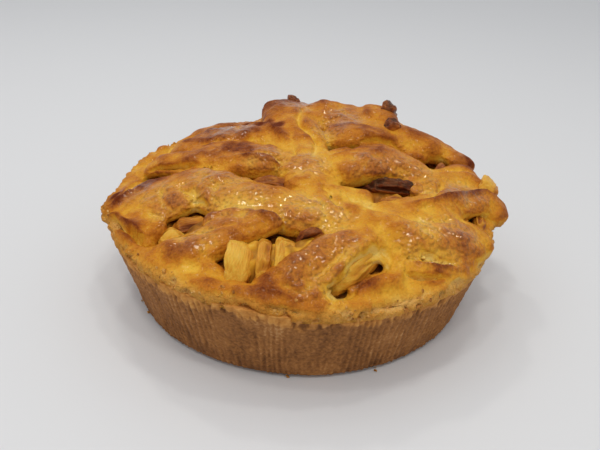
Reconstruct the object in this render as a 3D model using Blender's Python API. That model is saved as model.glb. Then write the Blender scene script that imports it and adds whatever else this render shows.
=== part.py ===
"""A whole baked apple pie, turned out of its tin: a fluted pastry case, the apple filling
that it holds, and a thick, uneven lattice of pastry strips with apple slices in its gaps.

Metres, +Z up, origin at the centre of the flat base. The front of the pie faces -Y.
"""
import math

import bmesh
import bpy
import numpy as np
from mathutils import Matrix, Vector, noise

MM = 0.001

# Driving dimensions of the case.
BASE_RADIUS = 85.0 * MM        # flat base
WALL_FLARE = 0.294             # how far the wall leans out for each unit of its height
WALL_THICKNESS = 6.5 * MM
FLOOR_THICKNESS = 5.0 * MM
EDGE_HEIGHT = 40.5 * MM        # mean height of the case's baked edge
EDGE_TILT = 4.5 * MM           # the edge sinks this much towards EDGE_LOW_AT
EDGE_LOW_AT = math.radians(-45)
FLUTES = 72                    # upright ribs that the tin pressed into the wall
FLUTE_DEPTH = 1.0 * MM
FOOT_ROUND = 2.0 * MM          # the rounding where the wall meets the base
EDGE_INSET = 0.5 * MM          # the baked edge stands this far inside the wall's slope

# The mound of the top: its height at the edge, the rise to the centre, and the lean to +Y.
CROWN_RADIUS = 100.0 * MM
CROWN_EDGE = 52.0 * MM
CROWN_RISE = 16.0 * MM
CROWN_LEAN = 6.0 * MM
CROWN_POWER = 2.5              # over 2, so the middle is flat and the shoulder falls away
LATTICE_DEPTH = 10.0 * MM      # how far the filling lies below the tops of the strips
BACK_HEAP = 12.0 * MM          # the filling is heaped this much more under the back's strips,
BACK_HEAP_AT = (15.0 * MM, 80.0 * MM)
BACK_HEAP_SIZE = (45.0 * MM, 20.0 * MM)
BED_SHOULDER = 0.86            # share of the inner radius where the filling starts to fall to the edge
BED_SHARES = (1.0, 0.92, 0.84, 0.6, 0.3)
FIT_GAP = 0.3 * MM             # air between pieces that touch
BED_SEGMENTS = 48
CUTTER_RADIUS = 125.0 * MM     # clear of the pie on all sides
CUTTER_FOOT = -10.0 * MM
MERGE_DISTANCE = 0.001 * MM

# The roll of dough that joins the lattice to the case's edge.
RIM_SIDES = 8
RIM_RADIUS = 91.0 * MM
RIM_HALF_WIDTH = 7.0 * MM
RIM_HALF_HEIGHT = 6.0 * MM
RIM_LIFT = 3.0 * MM            # the height of its middle over the case's edge
RIM_LUMP_SIZE = 15.0 * MM
RIM_LUMP_DEPTH = 3.5 * MM

PATH_FINENESS = 12             # points read from a smooth path between two of its own
STRIP_SIDES = 8
STRIP_RING_STEP = 12.0 * MM
STRIP_FLATNESS = 0.58          # half height of a strip for each unit of its half width
STRIP_HALF_HEIGHT = (4.0 * MM, 8.5 * MM)
STRIP_END_ROUND = 0.8          # length of a strip's rounded end for each unit of its half width
STRIP_END_STOPS = (0.0, 0.12, 0.45)   # shares of that length where its end has rings
LUMP_SIZE = 19.0 * MM          # spacing of the swellings on the dough, and their height
LUMP_DEPTH = 2.0 * MM

# Each strip of dough, in mm: (x, y, half width, lift over the mound) from one end to the other.
STRIPS = {
    "left_to_middle": [(-94, -20, 17, -2), (-70, -20, 20, 0), (-48, -18, 17, 1), (-28, -31, 15, 1),
                       (0, -41, 14, 1), (24, -47, 13, 0), (46, -48, 11, -1)],
    "left_end": [(-86, -26, 12, -2), (-79, -40, 11, -2), (-64, -50, 8, -4)],
    "left_lobe": [(-90, 4, 8, -3), (-94, -14, 9, -2), (-91, -30, 8, -4)],
    "left_flap": [(-86, 16, 8, 0), (-72, 12, 9, 1), (-50, 6, 9, 0)],
    "left_knob": [(-78, 42, 5, 0), (-86, 44, 4, 0)],
    "left_pillow": [(-64, 20, 12, 0), (-40, 15, 16, 2), (-8, 8, 14, 1)],
    "left_back_pillow": [(-76, 36, 12, 0), (-46, 41, 15, 2), (-10, 46, 14, 1)],
    "left_back_rim": [(-68, 56, 11, 0), (-46, 70, 11, 0), (-24, 76, 11, 0)],
    "middle_upright": [(-16, 94, 12, 1), (-13, 85, 15, 11.5), (-9, 62, 16, 8), (-2, 20, 16, 0), (6, -24, 14, -1)],
    "middle_low": [(-2, -22, 11, -2), (20, -24, 11, -2), (34, -31, 9, -2)],
    "back_upright": [(20, 94, 15, 1), (19, 85, 19, 11), (21, 68, 18, 9), (24, 50, 14, 2)],
    "back_right_end": [(49, 84, 10, 6), (45, 77, 11, 14), (44, 62, 12, 11), (40, 50, 11, 3)],
    "back_pillow": [(10, 42, 14, 2), (32, 45, 15, 6), (54, 44, 12, 5)],
    "back_rim_left": [(-42, 80, 9, -2), (-18, 90, 11, -2), (6, 92, 10, -3)],
    "back_rim_right": [(4, 92, 10, -3), (34, 86, 11, -2), (58, 74, 10, -2), (74, 58, 9, -2)],
    "right_back": [(46, 64, 10, 5), (66, 54, 13, 7), (80, 36, 10, 5)],
    "right_back_rim": [(74, 54, 10, 4), (85, 43, 10, 5), (93, 29, 9, 5)],
    "right_pillow": [(10, 0, 14, 1), (34, 9, 16, 4), (54, 8, 14, 4), (67, -5, 9, 0)],
    "right_pale": [(52, -10, 9, -2), (72, 4, 13, 1), (97, 17, 12, 4)],
    "right_upper": [(34, -42, 10, 0), (60, -29, 11, 1), (84, -12, 10, 2), (95, -7, 9, 2), (99, -15, 7, -2)],
    "right_front_blob": [(30, -54, 12, -1), (52, -51, 13, 2), (72, -45, 13, 1), (90, -33, 10, -2)],
    "right_front_fold": [(42, -73, 7, -4), (57, -69, 8, -3), (75, -58, 7, -4)],
    "front_left_low": [(-54, -73, 8, -3), (-38, -80, 8, -3), (-25, -85, 6, -4)],
    "front_left_diagonal": [(-68, -64, 9, -2), (-52, -66, 11, 0), (-34, -59, 10, 1), (-9, -50, 6, 0)],
    "front_diagonal": [(-20, -90, 9, -2), (-2, -83, 12, 0), (14, -70, 11, 2), (38, -55, 11, 0)],
    "front_neck": [(38, -58, 5, -2), (41, -69, 5, -3), (46, -80, 6, -4)],
    "front_right_low": [(22, -87, 5, -4), (34, -79, 7, -3), (47, -74, 6, -4)],
}

# Each apple piece, in mm and degrees: x, y, depth of its top under the mound, length,
# upright size, thickness, heading of its length, lean of its upright axis.
APPLE_PIECES = {
    "apple_slice_front_left": (-25.5, -72, 1, 33, 12, 15, 88, 8),
    "apple_slice_front_edge": (-15.2, -73, 0, 34, 13, 7, 88, 8),
    "apple_slice_front_wide": (-6.0, -70, 2, 34, 14, 12, 88, 8),
    "apple_slice_front_small": (4.4, -72, 3, 32, 12, 9, 88, 8),
    "apple_wedge_dark": (4, -58, 1, 14, 6, 5, 28, 0),
    "apple_slice_front_right": (27, -73, 4, 40, 16, 10, 50, 24),
    "apple_slice_left": (-52, -40, 8, 28, 10, 9, 8, 0),
    "apple_chunk_left": (-59, -53, 6, 16, 10, 11, 20, 0),
    "apple_slice_middle": (-17, -12, 5, 32, 10, 8, 0, 10),
    "apple_slice_burnt": (47, -10, 3, 36, 12, 8, 2, 20),
    "apple_slice_under_burnt": (47, -22, 6, 28, 10, 9, 4, 0),
    "apple_slice_right": (78, -26, 5, 18, 12, 8, 50, 0),
    "apple_slice_right_end": (89, -21, 5, 15, 9, 7, 84, 0),
    "apple_chunk_right_back": (99, 6, -5, 20, 13, 13, 70, 0),
    "apple_tip_back": (-8, 86, -13.5, 13, 12, 9, 100, 0),
    "apple_tip_back_right": (51, 74, -17, 14, 18, 11, 60, 0),
    "apple_tip_right_back": (51, 52, -10, 12, 11, 9, 20, 0),
    "apple_slice_right_back": (77, 24, 2, 22, 12, 8, 60, 0),
}
PIECE_RINGS = 6
PIECE_SIDES = 7
PIECE_BEND = 0.16              # rise of a slice's back for each unit of its length
PIECE_BLUNT = 0.3              # width of a slice's cut ends for each unit of its middle's
PIECE_TAPER = 2.6              # how late along its half length a slice narrows
PIECE_WEDGE = 0.25             # how much thicker than its mean a slice is at its skin side
PIECE_END_THIN = 0.7           # how much of its upright size a slice loses towards its ends
PIECE_END_DROP = 0.3           # how far a slice's end sinks for each unit of its upright size


def crown(x, y):
    """Height of the mound that the tops of the strips follow."""
    r = min(math.hypot(x, y), CROWN_RADIUS)
    return CROWN_EDGE + CROWN_RISE * (1 - (r / CROWN_RADIUS) ** CROWN_POWER) + CROWN_LEAN * y / CROWN_RADIUS


def mound_normal(x, y):
    fall_x = crown(x - MM, y) - crown(x + MM, y)
    fall_y = crown(x, y - MM) - crown(x, y + MM)
    return Vector((fall_x, fall_y, 2 * MM)).normalized()


def case_edge(angle):
    """Height of the case's edge: low at the front right, and as uneven as it baked."""
    waves = 0.9 * math.sin(3 * angle + 0.7) + 0.6 * math.sin(7 * angle + 2.1) + 0.4 * math.sin(13 * angle)
    return EDGE_HEIGHT - EDGE_TILT * math.cos(angle - EDGE_LOW_AT) + waves * MM


def wall_radius(height):
    return BASE_RADIUS + WALL_FLARE * height


def bed(x, y):
    """Height of the surface under the lattice: the filling, then the case's edge round it."""
    angle = math.atan2(y, x)
    edge = case_edge(angle)
    inner = wall_radius(edge) - WALL_THICKNESS
    share = math.hypot(x, y) / inner
    t = min(max((share - BED_SHOULDER) / (1 - BED_SHOULDER), 0.0), 1.0)
    t = t * t * (3 - 2 * t)
    away = ((x - BACK_HEAP_AT[0]) / BACK_HEAP_SIZE[0]) ** 2 + ((y - BACK_HEAP_AT[1]) / BACK_HEAP_SIZE[1]) ** 2
    mound = crown(x, y) - LATTICE_DEPTH + BACK_HEAP * math.exp(-away)
    return (1 - t) * mound + t * edge


def new_material(name, color, roughness):
    material = bpy.data.materials.new(name)
    material.use_nodes = True
    shader = material.node_tree.nodes["Principled BSDF"]
    shader.inputs["Base Color"].default_value = (*color, 1.0)
    shader.inputs["Roughness"].default_value = roughness
    material.diffuse_color = (*color, 1.0)
    return material


def object_from(bm, name, material=None):
    """The bmesh as a named object with its faces pointing out."""
    bmesh.ops.recalc_face_normals(bm, faces=bm.faces)
    mesh = bpy.data.meshes.new(name)
    bm.to_mesh(mesh)
    bm.free()
    if material:
        mesh.materials.append(material)
    mesh.shade_smooth()
    mesh.set_sharp_from_angle(angle=math.radians(40))
    obj = bpy.data.objects.new(name, mesh)
    bpy.context.scene.collection.objects.link(obj)
    return obj


def skin(bm, rings, looped=False):
    """Joins rings of equally many points into a skin; a ring of one point is a pole."""
    made = [[bm.verts.new(p) for p in ring] for ring in rings]
    if looped:
        made.append(made[0])
    for low, high in zip(made, made[1:]):
        count = max(len(low), len(high))
        for i in range(count):
            j = (i + 1) % count
            if len(low) > 1:
                bm.faces.new((low[i], low[j], high[j % len(high)]))
            if len(high) > 1:
                bm.faces.new((low[i % len(low)], high[j], high[i]))


def circle(radius, height, count, ripple=0.0, turn=0.0):
    """A ring round the pie; radius and height may be functions of the angle."""
    points = []
    for i in range(count):
        a = 2 * math.pi * i / count + turn
        r = radius(a) if callable(radius) else radius
        z = height(a) if callable(height) else height
        r += ripple if i % 2 else 0.0
        points.append(Vector((r * math.cos(a), r * math.sin(a), z)))
    return points


def pastry_case():
    """The bottom crust: a floor and a leaning wall, fluted outside, its edge left uneven."""
    count = 2 * FLUTES
    bm = bmesh.new()
    rings = [[Vector((0, 0, 0))], circle(BASE_RADIUS - FOOT_ROUND, 0.0, count)]
    rings.append(circle(wall_radius(FOOT_ROUND), FOOT_ROUND, count, FLUTE_DEPTH))
    rings.append(circle(lambda a: wall_radius(case_edge(a)) - EDGE_INSET, case_edge, count, FLUTE_DEPTH))
    rings.append(circle(lambda a: wall_radius(case_edge(a)) - WALL_THICKNESS, case_edge, count))
    rings.append(circle(wall_radius(FLOOR_THICKNESS) - WALL_THICKNESS, FLOOR_THICKNESS, count))
    rings.append([Vector((0, 0, FLOOR_THICKNESS))])
    skin(bm, rings)
    return object_from(bm, "pastry_case", new_material("baked case", (0.223, 0.093, 0.033), 0.8))


def bed_rings(rise):
    """Rings over the mound of the filling, from its rim in to the centre."""
    rings = []
    for share in BED_SHARES:
        ring = circle(lambda a: wall_radius(case_edge(a)) - WALL_THICKNESS - FIT_GAP, 0.0, BED_SEGMENTS)
        for p in ring:
            p *= share
            p.z = bed(p.x, p.y) + rise
        rings.append(ring)
    rings.append([Vector((0, 0, bed(0, 0) + rise))])
    return rings


def apple_filling():
    """The cooked filling that fills the case and mounds up under the lattice."""
    floor = FLOOR_THICKNESS + FIT_GAP
    bm = bmesh.new()
    rings = [[Vector((0, 0, floor))], circle(wall_radius(floor) - WALL_THICKNESS - FIT_GAP, floor, BED_SEGMENTS)]
    skin(bm, rings + bed_rings(0.0))
    return object_from(bm, "apple_filling", new_material("cooked apple", (0.42, 0.2, 0.035), 0.45))


def smooth_path(points):
    """A smooth curve through the given rows of numbers, and its running length."""
    rows = [np.array(p, float) for p in points]
    rows = [2 * rows[0] - rows[1]] + rows + [2 * rows[-1] - rows[-2]]
    fine = []
    for a, b, c, d in zip(rows, rows[1:], rows[2:], rows[3:]):
        for t in np.linspace(0, 1, PATH_FINENESS, endpoint=False):
            fine.append(0.5 * (2 * b + (c - a) * t + (2 * a - 5 * b + 4 * c - d) * t ** 2
                               + (3 * b - a - 3 * c + d) * t ** 3))
    fine.append(rows[-2])
    fine = np.array(fine)
    run = np.concatenate([[0], np.cumsum(np.linalg.norm(np.diff(fine[:, :2], axis=0), axis=1))])
    return fine, run


def strip_rings(points):
    """Rings of a strip: flat ovals across its path, which shrink to a point at each end."""
    rows = [(x * MM, y * MM, w * MM, lift * MM) for x, y, w, lift in points]
    fine, run = smooth_path(rows)
    length = run[-1]
    first, last = (STRIP_END_ROUND * rows[i][2] for i in (0, -1))
    middle = max(2, round((length - first - last) / STRIP_RING_STEP) + 1)
    stops = [share * first for share in STRIP_END_STOPS]
    stops += list(np.linspace(first, length - last, middle))
    stops += [length - share * last for share in reversed(STRIP_END_STOPS)]
    rings = []
    for s in stops:
        x, y, w, lift = (np.interp(s, run, fine[:, k]) for k in range(4))
        ahead = [np.interp(min(s + MM, length), run, fine[:, k]) for k in (0, 1)]
        behind = [np.interp(max(s - MM, 0), run, fine[:, k]) for k in (0, 1)]
        along = Vector((ahead[0] - behind[0], ahead[1] - behind[1], 0)).normalized()
        across = mound_normal(x, y).cross(along).normalized()
        up = along.cross(across).normalized()
        shrink = min(1.0, s / first, (length - s) / last)
        shrink = math.sqrt(max(0.0, 1 - (1 - shrink) ** 2))
        h = min(max(STRIP_FLATNESS * w, STRIP_HALF_HEIGHT[0]), STRIP_HALF_HEIGHT[1])
        centre = Vector((x, y, crown(x, y) + lift)) - up * h
        if shrink == 0.0:
            rings.append([centre])
            continue
        ring = []
        for k in range(STRIP_SIDES):
            a = 2 * math.pi * k / STRIP_SIDES
            spoke = across * (w * math.cos(a)) + up * (h * math.sin(a))
            p = centre + shrink * spoke
            p += spoke.normalized() * (LUMP_DEPTH * noise.noise(p / LUMP_SIZE))
            ring.append(p)
        rings.append(ring)
    return rings


def rim_rings():
    """Rings of the roll of dough round the case's edge, as a closed loop."""
    rings = []
    for a in np.linspace(0, 2 * math.pi, BED_SEGMENTS, endpoint=False):
        out = Vector((math.cos(a), math.sin(a), 0))
        centre = out * RIM_RADIUS + Vector((0, 0, case_edge(a) + RIM_LIFT))
        ring = []
        for k in range(RIM_SIDES):
            b = 2 * math.pi * k / RIM_SIDES
            spoke = out * (RIM_HALF_WIDTH * math.cos(b)) + Vector((0, 0, RIM_HALF_HEIGHT * math.sin(b)))
            p = centre + spoke
            ring.append(p + spoke.normalized() * (RIM_LUMP_DEPTH * noise.noise(p / RIM_LUMP_SIZE)))
        rings.append(ring)
    return rings


def bed_cutter():
    """Everything under the lattice, with the gap that it keeps to the pieces below."""
    bm = bmesh.new()
    rings = [[Vector((0, 0, CUTTER_FOOT))], circle(CUTTER_RADIUS, CUTTER_FOOT, BED_SEGMENTS)]
    rings.append(circle(CUTTER_RADIUS, lambda a: case_edge(a) + FIT_GAP, BED_SEGMENTS))
    skin(bm, rings + bed_rings(FIT_GAP))
    return object_from(bm, "bed_cutter")


def apple_piece(name, sizes, grow=0.0):
    """A cooked slice: a bent, tapering wedge, thick at its skin and thin at its core side."""
    x, y, depth, length, tall, thick, heading, lean = sizes
    bm = bmesh.new()
    rings = []
    half = 0.5 * length * MM + grow
    for u in np.linspace(-1, 1, PIECE_RINGS):
        f = max(PIECE_BLUNT, math.sqrt(1 - abs(u) ** PIECE_TAPER))
        sink = PIECE_BEND * length * MM * u * u + PIECE_END_DROP * tall * MM * (1 - f)
        height = 0.5 * tall * MM * (1 - PIECE_END_THIN * (1 - f)) + grow
        ring = []
        for k in range(PIECE_SIDES):
            a = 2 * math.pi * (k + 0.5) / PIECE_SIDES
            wedge = 1 - PIECE_WEDGE + PIECE_WEDGE * math.sin(a)
            t = (0.5 * thick * MM * wedge * f + grow) * math.cos(a)
            ring.append(Vector((u * half, t, height * math.sin(a) - sink)))
        rings.append(ring)
    ends = [[sum(ring, Vector()) / PIECE_SIDES] for ring in (rings[0], rings[-1])]
    skin(bm, [ends[0], *rings, ends[1]])
    px, py = x * MM, y * MM
    top = crown(px, py) - depth * MM
    slope = Vector((0, 0, 1)).rotation_difference(mound_normal(px, py)).to_matrix().to_4x4()
    turn = Matrix.Rotation(math.radians(heading), 4, "Z") @ Matrix.Rotation(math.radians(lean), 4, "X")
    place = Matrix.Translation((px, py, top)) @ slope @ turn @ Matrix.Translation((0, 0, -0.5 * tall * MM))
    bmesh.ops.transform(bm, matrix=place, verts=bm.verts)
    return object_from(bm, name)


def boolean(obj, operation, others):
    """Applies one Boolean with a collection of objects, and removes them."""
    group = bpy.data.collections.new("operands")
    bpy.context.scene.collection.children.link(group)
    for other in others:
        group.objects.link(other)
    modifier = obj.modifiers.new("boolean", "BOOLEAN")
    modifier.operation = operation
    modifier.operand_type = "COLLECTION"
    modifier.collection = group
    modifier.solver = "EXACT"
    depsgraph = bpy.context.evaluated_depsgraph_get()
    mesh = bpy.data.meshes.new_from_object(obj.evaluated_get(depsgraph))
    obj.modifiers.clear()
    old = obj.data
    obj.data = mesh
    bpy.data.meshes.remove(old)
    for other in others:
        bpy.data.objects.remove(other)
    bpy.data.collections.remove(group)


def keep_main_body(obj):
    """Drops loose scraps and sealed hollows, which are the smaller closed skins."""
    bm = bmesh.new()
    bm.from_mesh(obj.data)
    bmesh.ops.remove_doubles(bm, verts=bm.verts, dist=MERGE_DISTANCE)
    bmesh.ops.dissolve_degenerate(bm, edges=bm.edges, dist=MERGE_DISTANCE)
    left = set(bm.verts)
    bodies = []
    while left:
        body, front = set(), [left.pop()]
        while front:
            v = front.pop()
            body.add(v)
            for e in v.link_edges:
                w = e.other_vert(v)
                if w in left:
                    left.remove(w)
                    front.append(w)
        bodies.append(body)
    main = max(bodies, key=len)
    bmesh.ops.delete(bm, geom=[v for v in bm.verts if v not in main], context="VERTS")
    bmesh.ops.triangulate(bm, faces=bm.faces)
    bm.to_mesh(obj.data)
    bm.free()


def pastry_lattice(pieces):
    """The top crust: every strip and the rim roll as one body of baked dough."""
    bm = bmesh.new()
    skin(bm, rim_rings(), looped=True)
    lattice = object_from(bm, "pastry_lattice", new_material("baked lattice", (0.5, 0.24, 0.06), 0.45))
    strips = []
    for name, points in STRIPS.items():
        bm = bmesh.new()
        skin(bm, strip_rings(points))
        strips.append(object_from(bm, name))
    boolean(lattice, "UNION", strips)
    boolean(lattice, "DIFFERENCE", [bed_cutter(), *pieces])
    keep_main_body(lattice)
    return lattice


for old in list(bpy.data.objects):
    bpy.data.objects.remove(old)

pastry_case()
filling = apple_filling()
pastry_lattice([apple_piece("cutter", sizes, FIT_GAP) for sizes in APPLE_PIECES.values()])
boolean(filling, "DIFFERENCE", [apple_piece("cutter", sizes, FIT_GAP) for sizes in APPLE_PIECES.values()])
keep_main_body(filling)
for piece_name, piece_sizes in APPLE_PIECES.items():
    piece = apple_piece(piece_name, piece_sizes)
    piece.data.materials.append(new_material(piece_name, (0.6, 0.38, 0.1), 0.4))
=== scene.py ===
"""The looks of a whole baked apple pie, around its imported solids.

Metres, +Z up, the origin at the centre of the flat base. The front of the pie faces -Y.
"""
import math

import bpy
import numpy as np
from mathutils import Matrix, Vector, noise


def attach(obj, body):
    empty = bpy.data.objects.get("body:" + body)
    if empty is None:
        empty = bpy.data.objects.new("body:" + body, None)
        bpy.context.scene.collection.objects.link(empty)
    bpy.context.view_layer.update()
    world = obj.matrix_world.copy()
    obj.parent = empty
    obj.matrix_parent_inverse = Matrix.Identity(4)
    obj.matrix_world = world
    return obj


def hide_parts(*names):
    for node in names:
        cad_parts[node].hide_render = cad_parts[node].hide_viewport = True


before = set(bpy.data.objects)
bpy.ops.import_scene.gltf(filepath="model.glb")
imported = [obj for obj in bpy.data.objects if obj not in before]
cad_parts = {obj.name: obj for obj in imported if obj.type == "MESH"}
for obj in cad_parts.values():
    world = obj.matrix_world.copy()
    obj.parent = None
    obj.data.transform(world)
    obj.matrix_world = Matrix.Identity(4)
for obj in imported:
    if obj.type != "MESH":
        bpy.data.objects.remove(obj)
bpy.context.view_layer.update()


# Pastry case: the bottom crust, shortcrust dough that was pressed into a ribbed tin and baked
# brown against the metal. Its uneven edge stands free of the tin, so it is paler and crumbly.
MM = 0.001
BASE_RADIUS = 85.0 * MM
WALL_FLARE = 0.294               # how far the wall leans out for each unit of its height
WALL_THICKNESS = 6.5 * MM
FLOOR_THICKNESS = 5.0 * MM
FOOT_ROUND = 2.0 * MM
EDGE_HEIGHT = 40.5 * MM          # mean height of the baked edge, which sinks to the front right
EDGE_TILT = 4.5 * MM
EDGE_LOW_AT = math.radians(-45)
RIB_COUNT = 204                  # upright ribs that the tin's crimped wall left, 2.8 mm apart
RIB_DEPTH = 0.36 * MM
RIB_SPLIT = 0.3 * MM             # depth of the finer streaks that split the ribs
RIB_STRAY = 3.4                  # how far the ribs stray sideways, and over what stretches
RIB_STRAY_SIZE = 9.0 * MM
RIB_FADE_SIZE = 17.0 * MM        # stretches over which the ribs come and go
STREAK_SIZE = 1.7 * MM
GRAIN_SIZE = 1.6 * MM
GRAIN_DEPTH = 0.22 * MM
SLUMP_SIZE = 26.0 * MM           # broad, shallow waves in the wall
SLUMP_DEPTH = 0.35 * MM
TORN_BAND = (1.0 * MM, 6.0 * MM)          # how far under its edge the crust is torn
TORN_SIZE = 3.4 * MM
TORN_DEPTH = 0.8 * MM
TORN_SPLIT = 0.9 * MM
WALL_DENT = 1.4 * MM             # the deepest dent and the highest bulge of the wall
WALL_BULGE = 1.1 * MM
CASE_COLUMNS = 5 * RIB_COUNT
CASE_WALL_ROWS = 40
WALL_OUTSET = 0.45 * MM          # the ribs' mean stands this far outside the wall's slope
CASE_TUCK = 2.2 * MM             # how far the edge reaches up into the dough of the rim
CASE_BLOTCH = 11.11 * MM         # the crust's blotches and its grain, which is drawn coarser than
CASE_SPECK = 1.25 * MM           # the real half millimetre so that it shows
GOLD_FRAY = 6.25 * MM            # size of the steps in the ragged line where the gold starts
GOLD_STARTS = 8.6                # where brown turns to gold, in mm under the edge
GOLD_FULL = 4.6
NOISE_GAIN = 1.4                 # brings the noise to about -1 to 1


def hex_color(text):
    """An sRGB hex colour as the linear values that a shader reads."""
    channels = [int(text[i:i + 2], 16) / 255 for i in (0, 2, 4)]
    return [c / 12.92 if c <= 0.04045 else ((c + 0.055) / 1.055) ** 2.4 for c in channels] + [1.0]


def add_node(tree, kind, inputs=None, **settings):
    """Adds a node. Its inputs take plain values, or the sockets that they are linked from."""
    node = tree.nodes.new(kind)
    for name, value in settings.items():
        setattr(node, name, value)
    for key, value in (inputs or {}).items():
        if isinstance(value, bpy.types.NodeSocket):
            tree.links.new(value, node.inputs[key])
        else:
            node.inputs[key].default_value = value
    return node


def new_material(name):
    """A material, with its tree of nodes and its shader."""
    material = bpy.data.materials.new(name)
    material.use_nodes = True
    return material, material.node_tree, material.node_tree.nodes["Principled BSDF"]


def set_values(node, values):
    """Sets the uniform values of a node by the names of its sockets."""
    for name, value in values.items():
        node.inputs[name].default_value = value


def weighted_sum(tree, start, terms):
    """Adds sockets to a start, each times its share, and gives the socket of the sum."""
    total = start
    for socket, share in terms:
        total = add_node(tree, "ShaderNodeMath", {0: socket, 1: share, 2: total},
                         operation="MULTIPLY_ADD").outputs[0]
    return total


def set_ramp(ramp_node, stops):
    """Gives a colour ramp its (place, hex colour) stops."""
    elements = ramp_node.color_ramp.elements
    while len(elements) > 1:
        elements.remove(elements[-1])
    elements[0].position = stops[0][0]
    elements[0].color = hex_color(stops[0][1])
    for place, color in stops[1:]:
        elements.new(place).color = hex_color(color)


def smooth_step(values, low, high):
    """Rises smoothly from 0 at low to 1 at high."""
    t = np.clip((values - low) / (high - low), 0, 1)
    return t * t * (3 - 2 * t)


def noise_at(points, size, seed=0.0):
    """Smooth noise, about -1 to 1, whose swellings are about a size across."""
    return np.array([noise.noise(p) for p in (points / size + seed).tolist()]) * NOISE_GAIN


def case_edge(angle):
    """Height of the case's edge round the pie."""
    waves = 0.9 * np.sin(3 * angle + 0.7) + 0.6 * np.sin(7 * angle + 2.1) + 0.4 * np.sin(13 * angle)
    return EDGE_HEIGHT - EDGE_TILT * np.cos(angle - EDGE_LOW_AT) + waves * MM


def wall_radius(height):
    """The case's outer radius at a height."""
    return BASE_RADIUS + WALL_FLARE * height


def spokes(count):
    """Angles evenly round the pie, and the way out at each."""
    angle = np.linspace(0, 2 * math.pi, count, endpoint=False)
    return angle, np.stack([np.cos(angle), np.sin(angle), 0 * angle], -1)


def new_object(name, data):
    """An object in the scene, at the origin."""
    obj = bpy.data.objects.new(name, data)
    bpy.context.scene.collection.objects.link(obj)
    return obj


def closed_mesh(name, rings, poles):
    """A closed skin over rows of rings, with a pole point at each end."""
    rows, count, _ = rings.shape
    verts = np.vstack([rings.reshape(-1, 3), poles])
    start = np.arange(rows - 1)[:, None] * count
    here = np.arange(count)
    ahead = (here + 1) % count
    quads = np.stack([start + here, start + ahead, start + count + ahead, start + count + here], -1)
    last = (rows - 1) * count
    fans = [(rows * count, b, a) for a, b in zip(here.tolist(), ahead.tolist())]
    fans += [(last + a, last + b, rows * count + 1) for a, b in zip(here.tolist(), ahead.tolist())]
    mesh = bpy.data.meshes.new(name)
    mesh.from_pydata(verts.tolist(), [], quads.reshape(-1, 4).tolist() + fans)
    mesh.shade_smooth()
    return new_object(name, mesh)


def set_attribute(mesh, name, values):
    """Gives each point of a mesh a number that its material reads."""
    mesh.attributes.new(name, "FLOAT", "POINT").data.foreach_set("value", np.asarray(values, np.float32))


def make_case():
    """The floor and wall as rings from the base's centre out, up and back in, with their relief."""
    angle, out = spokes(CASE_COLUMNS)
    edge = case_edge(angle) + CASE_TUCK
    rings = []
    wall = []

    def add_ring(radius, height, on_wall=0.0):
        rings.append(out * np.broadcast_to(radius, angle.shape)[:, None])
        rings[-1][:, 2] = height
        wall.append(np.full(angle.shape, on_wall))

    for share in (0.25, 0.6, 0.9):
        add_ring(share * (BASE_RADIUS - FOOT_ROUND), 0.0)
    for turn in np.radians((0, 30, 60)):
        add_ring(BASE_RADIUS - FOOT_ROUND * (1 - math.sin(turn)), FOOT_ROUND * (1 - math.cos(turn)),
                 math.sin(turn))
    for share in np.linspace(0, 1, CASE_WALL_ROWS):
        height = FOOT_ROUND + share * (edge - FOOT_ROUND)
        add_ring(wall_radius(height) + WALL_OUTSET, height, 1.0)
    for inset, drop, weight in ((1.2, 0.0, 0.6), (3.2, 0.2, 0.2), (5.4, 0.5, 0.0)):
        add_ring(wall_radius(edge) - inset * MM, edge - drop * MM, weight)
    add_ring(wall_radius(edge) - WALL_THICKNESS, edge - 2 * MM)
    add_ring(wall_radius(FLOOR_THICKNESS) - WALL_THICKNESS, FLOOR_THICKNESS)
    add_ring(0.5 * BASE_RADIUS, FLOOR_THICKNESS)
    rings = np.array(rings)
    wall = np.array(wall)
    turn = np.broadcast_to(angle, wall.shape).ravel()
    flat = rings.reshape(-1, 3)
    reach = wall_radius(0.5 * EDGE_HEIGHT)
    spread = np.stack([reach * np.cos(turn), reach * np.sin(turn), flat[:, 2]], -1)
    wander = noise_at(spread * (1, 1, 0.25), RIB_STRAY_SIZE, 3.0)
    rib = np.cos(RIB_COUNT * turn + RIB_STRAY * wander)
    strength = 0.5 + 0.6 * noise_at(spread * (1, 1, 0.4), RIB_FADE_SIZE, 5.0)
    streak = noise_at(spread * (1, 1, 0.2), STREAK_SIZE, 9.0)
    grain = noise_at(spread, GRAIN_SIZE, 14.0)
    slump = noise_at(spread, SLUMP_SIZE, 21.0)
    relief = RIB_DEPTH * strength * rib + RIB_SPLIT * streak + GRAIN_DEPTH * grain + SLUMP_DEPTH * slump
    torn = 1 - smooth_step(case_edge(turn) - flat[:, 2], *TORN_BAND)
    split = smooth_step(streak, 0.3, 0.6)
    relief += torn * (TORN_DEPTH * noise_at(spread, TORN_SIZE, 25.0) - TORN_SPLIT * split)
    relief = np.clip(relief, -WALL_DENT, WALL_BULGE) * wall.ravel()
    flat += np.stack([np.cos(turn), np.sin(turn), 0 * turn], -1) * relief[:, None]
    obj = closed_mesh("case_crust", rings, [(0, 0, 0), (0, 0, FLOOR_THICKNESS)])
    # The relief, which the material also paints as light on the rib tops and shade in the grooves.
    set_attribute(obj.data, "relief", np.append(relief / RIB_DEPTH, (0, 0)))
    height = flat[:, 2] - case_edge(turn)
    set_attribute(obj.data, "below_edge", np.append(-height / MM, (40, 40)))
    return obj


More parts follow.
